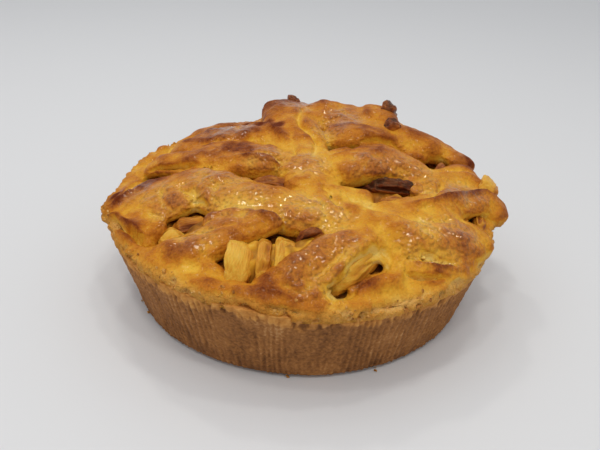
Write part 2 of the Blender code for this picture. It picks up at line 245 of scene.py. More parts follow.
def case_material():
    """Baked shortcrust: dry and matte, brown with dark specks, golden at its edge and darker towards its
    foot. Its rib tops are painted paler and its grooves darker, as painted light and shade.
    """
    material, tree, shader = new_material("baked shortcrust, tin side")
    place = add_node(tree, "ShaderNodeTexCoord").outputs["Object"]
    relief = add_node(tree, "ShaderNodeAttribute", attribute_name="relief").outputs["Fac"]
    below = add_node(tree, "ShaderNodeAttribute", attribute_name="below_edge").outputs["Fac"]
    blotch = add_node(tree, "ShaderNodeTexNoise", {"Vector": place, "Scale": 1 / CASE_BLOTCH, "Detail": 3.0})
    speck = add_node(tree, "ShaderNodeTexNoise", {"Vector": place, "Scale": 1 / CASE_SPECK, "Detail": 3.0})
    # The relief share paints light on the rib tops and shade in the grooves.
    mixed = weighted_sum(tree, 0.08, [(relief, 0.07), (below, -0.0028), (blotch.outputs["Fac"], 0.35),
                                      (speck.outputs["Fac"], 0.56)])
    brown = add_node(tree, "ShaderNodeValToRGB", {"Fac": mixed})
    set_ramp(brown, [(0.2, "583416"), (0.42, "87562a"), (0.6, "a66f3a"), (0.85, "d0a36e")])
    ragged = add_node(tree, "ShaderNodeTexNoise", {"Vector": place, "Scale": 1 / GOLD_FRAY, "Detail": 4.0})
    line = weighted_sum(tree, below, [(ragged.outputs["Fac"], 9.0), (relief, -1.1)])
    golden = add_node(tree, "ShaderNodeMapRange", {"Value": line, "From Min": GOLD_STARTS,
                                                   "From Max": GOLD_FULL, "To Min": 0.0, "To Max": 1.0})
    gold = add_node(tree, "ShaderNodeValToRGB", {"Fac": mixed})
    set_ramp(gold, [(0.25, "9a6026"), (0.5, "c0803a"), (0.8, "d69c52")])
    color = add_node(tree, "ShaderNodeMix", {"Factor": golden.outputs["Result"], 6: brown.outputs["Color"],
                                             7: gold.outputs["Color"]}, data_type="RGBA")
    tree.links.new(color.outputs[2], shader.inputs["Base Color"])
    set_values(shader, {"Roughness": 0.85, "Specular IOR Level": 0.3})
    bump = add_node(tree, "ShaderNodeBump", {"Height": speck.outputs["Fac"], "Strength": 0.7,
                                             "Distance": 0.6 * MM})
    tree.links.new(bump.outputs["Normal"], shader.inputs["Normal"])
    return material


case = make_case()
case.data.materials.append(case_material())
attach(case, "root")
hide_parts("pastry_case")


# Filling: chopped apple that was stewed with its juice and fills the case up to the lattice.
# Only its moist, lumpy top shows, down in the gaps between the strips.
FIT_GAP = 0.3 * MM
CROWN_RADIUS = 100.0 * MM        # the mound of the top: height at its edge, rise and lean to +Y
CROWN_EDGE = 52.0 * MM
CROWN_RISE = 16.0 * MM
CROWN_LEAN = 6.0 * MM
CROWN_POWER = 2.5
LATTICE_DEPTH = 10.0 * MM
BACK_HEAP = 12.0 * MM            # the heap of apple under the high strips at the back
BACK_HEAP_AT = (15.0 * MM, 80.0 * MM)
BACK_HEAP_SIZE = (45.0 * MM, 20.0 * MM)
BED_SHOULDER = 0.86              # share of the way out from where the bed falls to the case's edge
FILLING_COLUMNS = 420
FILLING_ROWS = 110
CHUNK_SIZE = 8.0 * MM            # a piece of chopped apple
CHUNK_DEPTH = 2.6 * MM
CHUNK_DENTS = 3.0 * MM
CHUNK_GRAIN = 1.0 * MM
JELLY_SINK = 1.5                 # in mm, how far the lumps in the jelly lie under its rise
JUICE_BLOTCH = 5.882 * MM        # the browner and paler spots of the stewed flesh

# Where the filling swelled up between the strips and set to a paler, yellow jelly, in mm:
# (x, y, radius, rise, paleness).
JELLY = [
    (-27, -82, 9, 8.5, 1.0), (-18, -69, 16, 9.6, 0.8), (-8, -70, 16, 9.8, 0.9), (3, -65, 13, 9.5, 0.9),
    (5, -73, 8, 8.5, 0.9), (26, -74, 9, 5.0, 0.6), (-62, -48, 10, 5.0, 0.5), (-46, -44, 11, 4.0, 0.3),
    (44, -14, 14, 4.0, 0.2), (-18, -10, 14, 4.0, 0.3), (84, -22, 14, 4.0, 0.5), (82, 26, 14, 4.0, 0.3),
]


def crown(x, y):
    """Height of the mound that the tops of the strips follow."""
    r = np.minimum(np.hypot(x, y), CROWN_RADIUS)
    return CROWN_EDGE + CROWN_RISE * (1 - (r / CROWN_RADIUS) ** CROWN_POWER) + CROWN_LEAN * y / CROWN_RADIUS


def bed(x, y):
    """Height of the surface under the lattice: the filling, then the case's edge round it."""
    edge = case_edge(np.arctan2(y, x))
    share = np.hypot(x, y) / (wall_radius(edge) - WALL_THICKNESS)
    t = smooth_step(share, BED_SHOULDER, 1.0)
    away = ((x - BACK_HEAP_AT[0]) / BACK_HEAP_SIZE[0]) ** 2 + ((y - BACK_HEAP_AT[1]) / BACK_HEAP_SIZE[1]) ** 2
    mound = crown(x, y) - LATTICE_DEPTH + BACK_HEAP * np.exp(-away)
    return (1 - t) * mound + t * edge


def mm_away(points, x, y):
    """How far each point lies from a place that is given in mm, seen from above."""
    return np.hypot(points[:, 0] / MM - x, points[:, 1] / MM - y)


def make_filling():
    """The filling as rings from its floor out, and in over its lumpy top."""
    angle, out = spokes(FILLING_COLUMNS)
    rim = wall_radius(case_edge(angle)) - WALL_THICKNESS - FIT_GAP
    floor = FLOOR_THICKNESS + FIT_GAP
    foot = wall_radius(floor) - WALL_THICKNESS - FIT_GAP
    rings = [out * foot * share + (0, 0, floor) for share in (0.5, 1.0)]
    for share in np.linspace(1, 0, FILLING_ROWS, endpoint=False):
        ring = out * (rim * share)[:, None]
        ring[:, 2] = bed(ring[:, 0], ring[:, 1])
        rings.append(ring)
    rings = np.array(rings)
    top = rings[2:].reshape(-1, 3)
    cells = [noise.voronoi(p)[0][:2] for p in (top / CHUNK_SIZE).tolist()]
    seam = np.array([far - near for near, far in cells])
    lump = smooth_step(seam, 0.0, 0.5) - 1 + 0.35 * (noise_at(top, CHUNK_DENTS) - 1)
    lump += 0.1 * noise_at(top, CHUNK_GRAIN)
    inside = smooth_step(1 - np.hypot(top[:, 0], top[:, 1]) / (90 * MM), 0.0, 0.06)
    top[:, 2] += CHUNK_DEPTH * np.minimum(lump, 0) * inside
    pale = np.zeros(len(top))
    for x, y, radius, rise, paleness in JELLY:
        near = 1 - smooth_step(mm_away(top, x, y), 0.3 * radius, radius)
        swollen = bed(top[:, 0], top[:, 1]) + (rise * near - JELLY_SINK + lump) * MM
        top[:, 2] = np.maximum(top[:, 2], swollen)
        pale = np.maximum(pale, near * paleness)
    obj = closed_mesh("stewed_filling", rings, [(0, 0, floor), (0, 0, bed(0.0, 0.0) - CHUNK_DEPTH)])
    below = 2 * FILLING_COLUMNS
    set_attribute(obj.data, "lump", np.concatenate([np.full(below, -1.0), lump, (0, 0)]))
    set_attribute(obj.data, "jelly", np.concatenate([np.zeros(below), pale, (0, 0)]))
    return obj


def filling_material():
    """Stewed apple in juice: amber flesh, wet and slightly see-through, with painted shade that darkens its
    crevices.
    """
    material, tree, shader = new_material("stewed apple filling")
    place = add_node(tree, "ShaderNodeTexCoord").outputs["Object"]
    lump = add_node(tree, "ShaderNodeAttribute", attribute_name="lump").outputs["Fac"]
    blotch = add_node(tree, "ShaderNodeTexNoise", {"Vector": place, "Scale": 1 / JUICE_BLOTCH, "Detail": 4.0})
    # The lump share paints shade into the crevices between the chunks.
    mixed = weighted_sum(tree, 0.42, [(lump, 0.35), (blotch.outputs["Fac"], 0.5)])
    color = add_node(tree, "ShaderNodeValToRGB", {"Fac": mixed})
    set_ramp(color, [(0.1, "52290e"), (0.35, "935419"), (0.6, "bb7c2a"), (0.85, "dba84c")])
    jelly = add_node(tree, "ShaderNodeAttribute", attribute_name="jelly").outputs["Fac"]
    yellow = add_node(tree, "ShaderNodeValToRGB", {"Fac": mixed})
    set_ramp(yellow, [(0.15, "a06a1c"), (0.45, "d29a26"), (0.8, "e4ba4e")])
    shown = add_node(tree, "ShaderNodeMix", {"Factor": jelly, 6: color.outputs["Color"],
                                             7: yellow.outputs["Color"]}, data_type="RGBA")
    tree.links.new(shown.outputs[2], shader.inputs["Base Color"])
    set_values(shader, {"Roughness": 0.42, "Specular IOR Level": 0.3, "Specular Tint": hex_color("f2c170"),
                        "Subsurface Weight": 0.08, "Subsurface Scale": 2 * MM})
    bump = add_node(tree, "ShaderNodeBump", {"Height": blotch.outputs["Fac"], "Strength": 0.5,
                                             "Distance": 0.8 * MM})
    tree.links.new(bump.outputs["Normal"], shader.inputs["Normal"])
    return material


filling = make_filling()
filling.data.materials.append(filling_material())
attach(filling, "root")
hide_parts("apple_filling")


# Lattice: the top crust. Thick strips of shortcrust were laid across the apple, pressed on to the
# case's edge, brushed with egg and baked together, so they sag, fold and run into each other.
RIM_RADIUS = 91.0 * MM
RIM_HALF_WIDTH = 7.0 * MM
RIM_HALF_HEIGHT = 6.0 * MM
RIM_LIFT = 3.0 * MM
RIM_LUMP_SIZE = 15.0 * MM
RIM_LUMP_DEPTH = 3.5 * MM
RIM_POINTS = 240
LOBE_AT = (-94.0 * MM, -14.0 * MM)        # the lobe on the left, which alone hangs over the wall
LOBE_REACH = (12.0 * MM, 26.0 * MM)
RIM_OVERHANG = 0.4               # how far the rim bulges past the wall for each unit of height
RIM_PRESSED = 0.85               # share of what bulges further that is taken back
RIM_ZONE = (80.0 * MM, 88.0 * MM)         # where the dough belongs to the roll round the edge
RIM_ZONE_HEIGHT = (8.0 * MM, 12.0 * MM)
FLUSH_HEIGHT = (2.0 * MM, 6.0 * MM)
STRIP_FLATNESS = 0.58
STRIP_HALF_HEIGHT = (4.0 * MM, 8.5 * MM)
STRIP_END_ROUND = 0.8
STRIP_STEP = 1.5 * MM
STRIP_SIDES = 28
STRIP_FULLNESS = 0.9             # below 1, a strip's oval section is fuller
LUMP_SIZE = 19.0 * MM
LUMP_DEPTH = 2.0 * MM
DOUGH_VOXEL = 0.88 * MM
FOLD_SHARE = 1.6                 # how strongly the folds below show
FOLD_REACH = 8.0 * MM
FOLD_TAPER = 5.0 * MM            # a fold fades over this length at its ends
FOLD_WAVER = 0.8 * MM            # how far a fold strays from its line, and over what stretches
FOLD_WAVER_SIZE = 5.0 * MM
BAKE_SHARE = 0.55                # how strongly the patches below show
SWELL_SIZE = 9.0 * MM            # the dough's swellings, bubbles, wrinkles and grain: how wide, how high
SWELL_HEIGHT = 0.7 * MM
BUBBLE_SIZE = 4.4 * MM
BUBBLE_HEIGHT = 0.42 * MM
WRINKLE_SIZE = 7.0 * MM
WRINKLE_HEIGHT = 0.46 * MM
DOUGH_GRAIN_SIZE = 2.4 * MM
DOUGH_GRAIN_HEIGHT = 0.1 * MM
BREAK_SIZES = (3.8 * MM, 1.9 * MM)        # the crumbly breaks of the rim, coarse and fine
BREAK_HEIGHTS = (0.8 * MM, 0.5 * MM)
BREAK_ZONE = (88.0 * MM, 96.0 * MM)       # where the rim is broken, with a ragged inner border
BREAK_ZONE_HEIGHT = (5.0 * MM, 10.0 * MM)
BREAK_WAVER = 3.0 * MM
BREAK_WAVER_SIZE = 9.0 * MM
PIT_SIZE = 4.2 * MM
PIT_DEPTH = 1.8 * MM
BAKE_ROUNDS = (160, 14)          # rounds of smoothing that tell broad and small bumps from hollows
TOP_FLOOR = 38.0 * MM            # the baked patches lie above this height
THIN_WASH = 0.35                 # how thick the egg lies between the shiny places below
CRUST_MOTTLE = 3.03 * MM         # the crust's mottling, its grain, and the smears of the brush
CRUST_GRAIN = 0.909 * MM
BRUSH_SMEAR = 14.29 * MM
EGG_BUBBLE = 2.083 * MM          # bubbles that dried in the egg wash
BREAK_GRAIN = 1.613 * MM
WEBS = ((320, 0.8), (80, 0.9), (20, 0.8))    # rounds and share of the smoothing that fills grooves
LIES_ON = 0.5 * MM               # dough that is this close to the filling lies on it
RELIEF_OVER = 0.6 * MM           # above this over the filling, the dough gets its folds and grain
UNDERSIDE_KEPT = 0.12            # share of the hidden underside's triangles that stay

# Folds in the dough, in mm: half width, height (a crease is below 0), and the line it follows.
FOLDS = {
    "slit_under_left_flap": (1.1, -3.5, [(-82, 8), (-70, 4), (-55, 2)]),
    "front_left_overlap": (1.5, -3.8, [(-92, -36), (-77, -50), (-69, -57), (-62, -53)]),
    "front_left_lip": (1.8, 1.5, [(-92, -32), (-80, -45), (-71, -52)]),
    "lobe_crease": (1.6, -3.4, [(-97, -31), (-93, -19), (-89, -13), (-86, -4)]),
    "lobe_lip": (1.6, 1.7, [(-95, -36), (-90, -23), (-84, -14)]),
    "left_strip_fold": (2.4, -1.4, [(-58, -22), (-50, -33), (-44, -38)]),
    "left_strip_upper_fold": (2.2, -1.0, [(-47, -17), (-40, -31)]),
    "left_strip_wrinkle": (1.5, -0.7, [(-70, -20), (-66, -32), (-58, -38)]),
    "left_diagonal_crest": (2.6, 1.4, [(-46, -47), (-36, -45), (-26, -47), (-17, -51), (-11, -55)]),
    "left_diagonal_wrinkle": (1.8, -0.8, [(-50, -58), (-38, -57), (-26, -55)]),
    "crust_ring": (1.4, -1.1, [(-8, -85), (-4, -90), (3, -89), (5, -84)]),
    "rim_crack_front": (0.9, -2.0, [(-7, -96), (-2, -97), (4, -98)]),
    "rim_crack_right": (0.9, -1.8, [(23, -95), (27, -94), (35, -91)]),
    "arch_hollow": (2.4, -3.0, [(34, -91), (39, -88), (45, -85)]),
    "front_cord": (2.0, 1.3, [(33, -62), (23, -71), (16, -79), (8, -88)]),
    "front_diagonal_fold": (1.8, -0.9, [(6, -84), (14, -77), (20, -69)]),
    "slit_front_right": (1.0, -3.2, [(45, -73), (55, -73), (65, -70)]),
    "front_right_lip": (1.6, 1.2, [(46, -67), (57, -67), (69, -63)]),
    "blob_fold": (1.3, -1.3, [(50, -61), (60, -63), (70, -61)]),
    "blob_wrinkle": (1.6, -0.9, [(44, -48), (56, -44), (70, -40)]),
    "right_upper_ridge": (1.9, 1.3, [(50, -35), (61, -29), (72, -21), (87, -8), (97, -4)]),
    "right_crease": (1.6, -1.6, [(61, -23), (66, -14), (71, -6)]),
    "between_pillows": (1.8, -1.8, [(15, 10), (24, 16), (30, 28), (41, 31), (54, 36)]),
    "middle_fold": (2.2, -1.6, [(-2, 69), (-4, 47), (3, 36), (10, 24)]),
    "middle_fan_left": (1.6, -0.9, [(-10, 36), (-6, 22), (-4, 8)]),
    "middle_fan_right": (1.6, -0.9, [(6, 34), (6, 20), (4, 4)]),
    "left_pillow_fold": (1.5, 1.1, [(-34, 5), (-18, 2), (-6, -3)]),
    "left_pillow_crease": (1.4, -1.0, [(-34, 9), (-20, 7), (-8, 2)]),
    "centre_crease": (2.2, -1.6, [(10, -17), (13, -31), (17, -42)]),
    "centre_crease_low": (1.6, -0.8, [(0, -30), (8, -38), (10, -46)]),
    "back_left_ridge": (2.2, 1.1, [(-38, 66), (-22, 46), (-10, 30), (-3, 16)]),
    "back_left_crease": (1.6, -1.2, [(-60, 30), (-42, 29), (-26, 31)]),
    "right_pale_fold": (1.6, -1.0, [(68, 6), (80, 12), (92, 14)]),
    "front_slice_window": (3.4, -3.6, [(36, -67), (29, -74), (19, -84)]),
}

# Gaps whose edges stay crisp, in mm: (x, y, radius).
GAPS = [(-54, -43, 19), (-18, -68, 20), (-4, -64, 20), (30, -76, 17), (22, -80, 12), (46, -14, 19),
        (88, -21, 17), (-17, -11, 16), (84, 27, 15), (-70, 5, 14)]

# Dough that ran together between two strips: (x, y, half width, lift over the mound), in mm.
RUNS = {
    "run_left_diagonal": [(-45, -49, 6, -3), (-30, -46, 8, -2.5), (-14, -48, 7, -2.5)],
    "run_right_back": [(50, 45, 8, 2), (62, 39, 8, 0), (71, 34, 7, -1)],
}

# Where the egg dried thick and shiny, in mm: (x, y, radius).
GLAZED = [
    (-27, -40, 16), (-41, -39, 14), (-60, -34, 12), (-1, -45, 15), (10, -47, 14), (12, -74, 17), (4, -82, 12),
    (62, -54, 15), (54, -58, 12), (33, -6, 13), (46, -4, 14), (57, -6, 13), (-44, -20, 18), (-20, 4, 14),
    (22, 58, 14), (14, 44, 12), (-6, 74, 12), (-46, -60, 12), (-44, 44, 16), (2, 0, 12), (76, -14, 10),
    (-84, -16, 12), (-70, -24, 10), (82, -10, 12), (70, -48, 12),
]

# Patches that baked darker (above 0) or stayed paler, in mm: (x, y, radius, change).
BAKED = [
    (-97, -14, 10, 0.6), (-80, -12, 10, 0.46), (-90, -22, 7, 0.5), (-70, -6, 8, 0.28), (-62, -31, 7, 0.2),
    (-94, -26, 8, 0.2), (-80, -46, 9, 0.4), (-34, -51, 8, 0.16), (-20, -48, 9, 0.12), (-55, -70, 9, 0.3),
    (-47, -73, 6, 0.14), (-38, -87, 7, 0.24), (-26, -91, 6, 0.2), (-14, -92, 9, 0.26), (-3, -90, 8, 0.18),
    (16, -66, 9, 0.2), (27, -80, 9, 0.26), (73, -57, 8, 0.34), (87, -8, 9, 0.36), (61, -66, 6, 0.2),
    (72, -22, 7, 0.12), (93, 16, 9, 0.16), (-24, 50, 7, 1.1), (-16, 44, 5, 0.8), (-31, 13, 10, 0.22),
    (-56, 15, 9, 0.22), (-60, 36, 10, 0.16), (-36, 42, 9, 0.04), (26, 74, 9, 0.16), (30, 46, 10, 0.22),
    (36, 8, 12, 0.16), (54, 22, 9, 0.14), (-70, 44, 12, 0.18), (-46, 68, 10, 0.18), (44, 84, 8, 0.28),
    (88, 42, 9, 0.3), (93, 31, 6, 0.6), (-44, 48, 34, 0.26), (-34, 14, 22, 0.32), (-14, 80, 26, 0.26),
    (-6, -60, 12, 0.1), (-10, -90, 26, 0.26), (56, -52, 12, -0.3), (10, -42, 50, -0.08),
    (-46, 24, 36, 0.12), (-14, -86, 7, 0.1), (30, 52, 20, 0.12), (-48, -78, 9, -0.3), (-29, -40, 11, -0.16),
    (-37, -32, 8, -0.12), (27, -31, 12, -0.36), (19, -24, 9, -0.26), (-54, -60, 6, -0.4),
    (-28, -3, 9, -0.2), (2, 40, 9, -0.16), (20, -76, 6, -0.22), (76, 36, 10, -0.18), (42, -70, 6, -0.16),
    (8, 16, 10, -0.14), (0, -38, 10, -0.1), (58, -34, 7, -0.1), (64, -10, 8, -0.18), (31, -66, 5, -0.5),
    (25, -72, 5, -0.6), (19, -78, 5, -0.6), (12, -85, 6, -0.4), (80, 14, 8, -0.12), (-6, 22, 10, -0.1),
    (54, -76, 8, -0.16), (-10, -3, 8, -0.16),
]

# Each strip of dough, in mm: (x, y, half width, lift over the mound) from one end to the other.
STRIPS = {
    "left_to_middle": [(-94, -20, 17, -2), (-70, -20, 20, 0), (-48, -18, 17, 1), (-28, -31, 15, 1),
                       (0, -41, 14, 1), (24, -47, 13, 0), (46, -48, 11, -1)],
    "left_end": [(-86, -26, 12, -2), (-79, -40, 11, -2), (-64, -50, 8, -4)],
    "left_lobe": [(-90, 4, 8, -3), (-94, -14, 9, -2), (-91, -30, 8, -4)],
    "left_flap": [(-86, 16, 8, 0), (-72, 12, 9, 1), (-50, 6, 9, 0)],
    "left_knob": [(-78, 42, 5, 0), (-86, 44, 4, 0)],
    "left_pillow": [(-64, 20, 12, 0), (-40, 15, 16, 2), (-8, 8, 14, 1)],
    "left_back_pillow": [(-76, 36, 12, 0), (-46, 41, 15, 2), (-10, 46, 14, 1)],
    "left_back_rim": [(-68, 56, 11, 0), (-46, 70, 11, 0), (-24, 76, 11, 0)],
    "middle_upright": [(-16, 94, 12, 1), (-13, 85, 15, 11.5), (-9, 62, 16, 8), (-2, 20, 16, 0),
                       (6, -24, 14, -1)],
    "middle_low": [(-2, -22, 11, -2), (20, -24, 11, -2), (34, -31, 9, -2)],
    "back_upright": [(20, 94, 15, 1), (19, 85, 19, 11), (21, 68, 18, 9), (24, 50, 14, 2)],
    "back_right_end": [(49, 84, 10, 6), (45, 77, 11, 14), (44, 62, 12, 11), (40, 50, 11, 3)],
    "back_pillow": [(10, 42, 14, 2), (32, 45, 15, 6), (54, 44, 12, 5)],
    "back_rim_left": [(-42, 80, 9, -2), (-18, 90, 11, -2), (6, 92, 10, -3)],
    "back_rim_right": [(4, 92, 10, -3), (34, 86, 11, -2), (58, 74, 10, -2), (74, 58, 9, -2)],
    "right_back": [(46, 64, 10, 5), (66, 54, 13, 7), (80, 36, 10, 5)],
    "right_back_rim": [(74, 54, 10, 4), (85, 43, 10, 5), (93, 29, 9, 5)],
    "right_pillow": [(10, 0, 14, 1), (34, 9, 16, 4), (54, 8, 14, 4), (67, -5, 9, 0)],
    "right_pale": [(52, -10, 9, -2), (72, 4, 13, 1), (97, 17, 12, 4)],
    "right_upper": [(34, -42, 10, 0), (60, -29, 11, 1), (84, -12, 10, 2), (95, -7, 9, 2), (99, -15, 7, -2)],
    "right_front_blob": [(30, -54, 12, -1), (52, -51, 13, 2), (72, -45, 13, 1), (90, -33, 10, -2)],
    "right_front_fold": [(42, -73, 7, -4), (57, -69, 8, -3), (75, -58, 7, -4)],
    "front_left_low": [(-54, -73, 8, -3), (-38, -80, 8, -3), (-25, -85, 6, -4)],
    "front_left_diagonal": [(-68, -64, 9, -2), (-52, -66, 11, 0), (-34, -59, 10, 1), (-9, -50, 6, 0)],
    "front_diagonal": [(-20, -90, 9, -2), (-2, -83, 12, 0), (14, -70, 11, 2), (38, -55, 11, 0)],
    "front_neck": [(38, -58, 5, -2), (41, -69, 5, -3), (46, -80, 6, -4)],
    "front_right_low": [(22, -87, 5, -4), (34, -79, 7, -3), (47, -74, 6, -4)],
}


def smooth_path(points, fineness=16):
    """A smooth curve through the given rows of numbers."""
    rows = np.array(points, float)
    rows = np.vstack([2 * rows[0] - rows[1], rows, 2 * rows[-1] - rows[-2]])
    t = np.linspace(0, 1, fineness, endpoint=False)[:, None]
    spans = [0.5 * (2 * b + (c - a) * t + (2 * a - 5 * b + 4 * c - d) * t ** 2
                    + (3 * b - a - 3 * c + d) * t ** 3)
             for a, b, c, d in zip(rows, rows[1:], rows[2:], rows[3:])]
    return np.vstack(spans + [rows[-2]])


def mound_normal(x, y):
    """The way that points straight out of the mound."""
    fall_x = crown(x - MM, y) - crown(x + MM, y)
    fall_y = crown(x, y - MM) - crown(x, y + MM)
    up = np.stack([fall_x, fall_y, np.full(np.shape(x), 2 * MM)], -1)
    return up / np.linalg.norm(up, axis=-1, keepdims=True)


def strip_rail(points):
    """A strip's middle line, with the half width across it and the half height over it."""
    path = smooth_path(np.array(points) * MM)
    run = np.concatenate([[0], np.cumsum(np.linalg.norm(np.diff(path[:, :2], axis=0), axis=1))])
    stops = np.linspace(0, run[-1], max(6, int(run[-1] / STRIP_STEP)))
    x, y, width, lift = (np.interp(stops, run, path[:, k]) for k in range(4))
    along = np.stack([np.gradient(x), np.gradient(y), 0 * x], -1)
    along /= np.linalg.norm(along, axis=1, keepdims=True)
    across = np.cross(mound_normal(x, y), along)
    across /= np.linalg.norm(across, axis=1, keepdims=True)
    up = np.cross(along, across)
    first, last = STRIP_END_ROUND * width[0], STRIP_END_ROUND * width[-1]
    near = np.minimum(np.minimum(1, stops / first), (run[-1] - stops) / last)
    shrink = np.sqrt(np.maximum(0.001, 1 - (1 - near) ** 2))[:, None]
    height = np.clip(STRIP_FLATNESS * width, *STRIP_HALF_HEIGHT)[:, None]
    centre = np.stack([x, y, crown(x, y) + lift], -1) - up * height
    return centre, across * width[:, None] * shrink, up * height * shrink


def rim_rail():
    """The middle line of the roll of dough round the case's edge."""
    angle, out = spokes(RIM_POINTS)
    centre = out * RIM_RADIUS
    centre[:, 2] = case_edge(angle) + RIM_LIFT
    return centre, out * RIM_HALF_WIDTH, np.tile((0, 0, RIM_HALF_HEIGHT), (RIM_POINTS, 1))


def rails_object():
    """Every strip's middle line as a chain of edges, with its spokes as attributes."""
    verts, across, up, edges = [], [], [], []
    for points in [*STRIPS.values(), *RUNS.values(), None]:
        rail = strip_rail(points) if points else rim_rail()
        start, count = len(verts), len(rail[0])
        verts += rail[0].tolist()
        across += rail[1].tolist()
        up += rail[2].tolist()
        edges += [(start + i, start + i + 1) for i in range(count - 1)]
        if not points:
            edges.append((start + count - 1, start))
    mesh = bpy.data.meshes.new("lattice_crust")
    mesh.from_pydata(verts, edges, [])
    for name, values in (("centre", verts), ("across", across), ("up", up)):
        mesh.attributes.new(name, "FLOAT_VECTOR", "POINT").data.foreach_set("vector", np.ravel(values))
    return new_object("lattice_crust", mesh)


def new_tree(name, inputs, output):
    """A Geometry Nodes tree with named inputs and one output. Returns it with its inputs' sockets."""
    tree = bpy.data.node_groups.new(name, "GeometryNodeTree")
    for label, kind in inputs.items():
        tree.interface.new_socket(label, in_out="INPUT", socket_type="NodeSocket" + kind)
    tree.interface.new_socket(output, in_out="OUTPUT", socket_type="NodeSocketGeometry")
    return tree, add_node(tree, "NodeGroupInput").outputs


def dough_tree():
    """Sweeps an oval of dough along each rail, as wide and as high as the rail's spokes say."""
    tree, given = new_tree("strips of dough", {"Rails": "Geometry", "Sides": "Int", "Fullness": "Float",
                                               "Material": "Material"}, "Dough")
    rails = add_node(tree, "GeometryNodeMeshToCurve", {"Mesh": given["Rails"]})
    ring = add_node(tree, "GeometryNodeCurvePrimitiveCircle", {"Resolution": given["Sides"], "Radius": 1.0})
    place = add_node(tree, "GeometryNodeInputPosition")
    ring = add_node(tree, "GeometryNodeStoreNamedAttribute",
                    {"Geometry": ring.outputs["Curve"], "Name": "spoke", "Value": place.outputs[0]},
                    data_type="FLOAT_VECTOR")
    tube = add_node(tree, "GeometryNodeCurveToMesh",
                    {"Curve": rails.outputs["Curve"], "Profile Curve": ring.outputs[0], "Fill Caps": True})
    spoke, centre, across, up = (
        add_node(tree, "GeometryNodeInputNamedAttribute", {"Name": name}, data_type="FLOAT_VECTOR").outputs[0]
        for name in ("spoke", "centre", "across", "up"))
    turn = add_node(tree, "ShaderNodeSeparateXYZ", {0: spoke}).outputs
    shift = centre
    for share, vector in ((turn[0], across), (turn[1], up)):
        size = add_node(tree, "ShaderNodeMath", {0: share}, operation="ABSOLUTE")
        size = add_node(tree, "ShaderNodeMath", {0: size.outputs[0], 1: given["Fullness"]},
                        operation="POWER")
        sign = add_node(tree, "ShaderNodeMath", {0: share}, operation="SIGN")
        size = add_node(tree, "ShaderNodeMath", {0: size.outputs[0], 1: sign.outputs[0]},
                        operation="MULTIPLY")
        part = add_node(tree, "ShaderNodeVectorMath", {0: vector, "Scale": size.outputs[0]},
                        operation="SCALE")
        moved = add_node(tree, "ShaderNodeVectorMath", {0: shift, 1: part.outputs[0]}, operation="ADD")
        shift = moved.outputs[0]
    placed = add_node(tree, "GeometryNodeSetPosition", {"Geometry": tube.outputs[0], "Position": shift})
    real = add_node(tree, "GeometryNodeRealizeInstances", {"Geometry": placed.outputs[0]})
    finished = add_node(tree, "GeometryNodeSetMaterial",
                        {"Geometry": real.outputs[0], "Material": given["Material"]})
    add_node(tree, "NodeGroupOutput", {"Dough": finished.outputs[0]})
    return tree


def set_inputs(modifier, values):
    """Sets a Geometry Nodes modifier's inputs, by the identifiers of the sockets that have these names."""
    for item in modifier.node_group.interface.items_tree:
        if item.in_out == "INPUT" and item.name in values:
            modifier[item.identifier] = values[item.name]


def apply_modifiers(obj):
    """Turns the evaluated object into a plain mesh of its own."""
    mesh = bpy.data.meshes.new_from_object(obj.evaluated_get(bpy.context.evaluated_depsgraph_get()))
    obj.modifiers.clear()
    obj.data = mesh


def smoothed(points, pairs, rounds):
    """Moves each point halfway to the mean of its neighbours, a number of times."""
    count = np.bincount(pairs.ravel(), minlength=len(points))[:, None]
    points = points.copy()
    for _ in range(rounds):
        total = np.stack([np.bincount(pairs[:, 0], points[pairs[:, 1], k], len(points))
                          + np.bincount(pairs[:, 1], points[pairs[:, 0], k], len(points))
                          for k in range(points.shape[1])], -1)
        points = 0.5 * points + 0.5 * total / count
    return points


def mesh_arrays(mesh):
    """A mesh's points, point normals and edges as arrays."""
    points = np.empty((len(mesh.vertices), 3))
    mesh.vertices.foreach_get("co", points.ravel())
    normals = np.empty((len(mesh.vertices), 3))
    mesh.vertex_normals.foreach_get("vector", normals.ravel())
    pairs = np.empty((len(mesh.edges), 2), int)
    mesh.edges.foreach_get("vertices", pairs.ravel())
    return points, normals, pairs


def move_points(mesh, points):
    """Gives a mesh's points new places."""
    mesh.vertices.foreach_set("co", points.ravel())
    mesh.update()


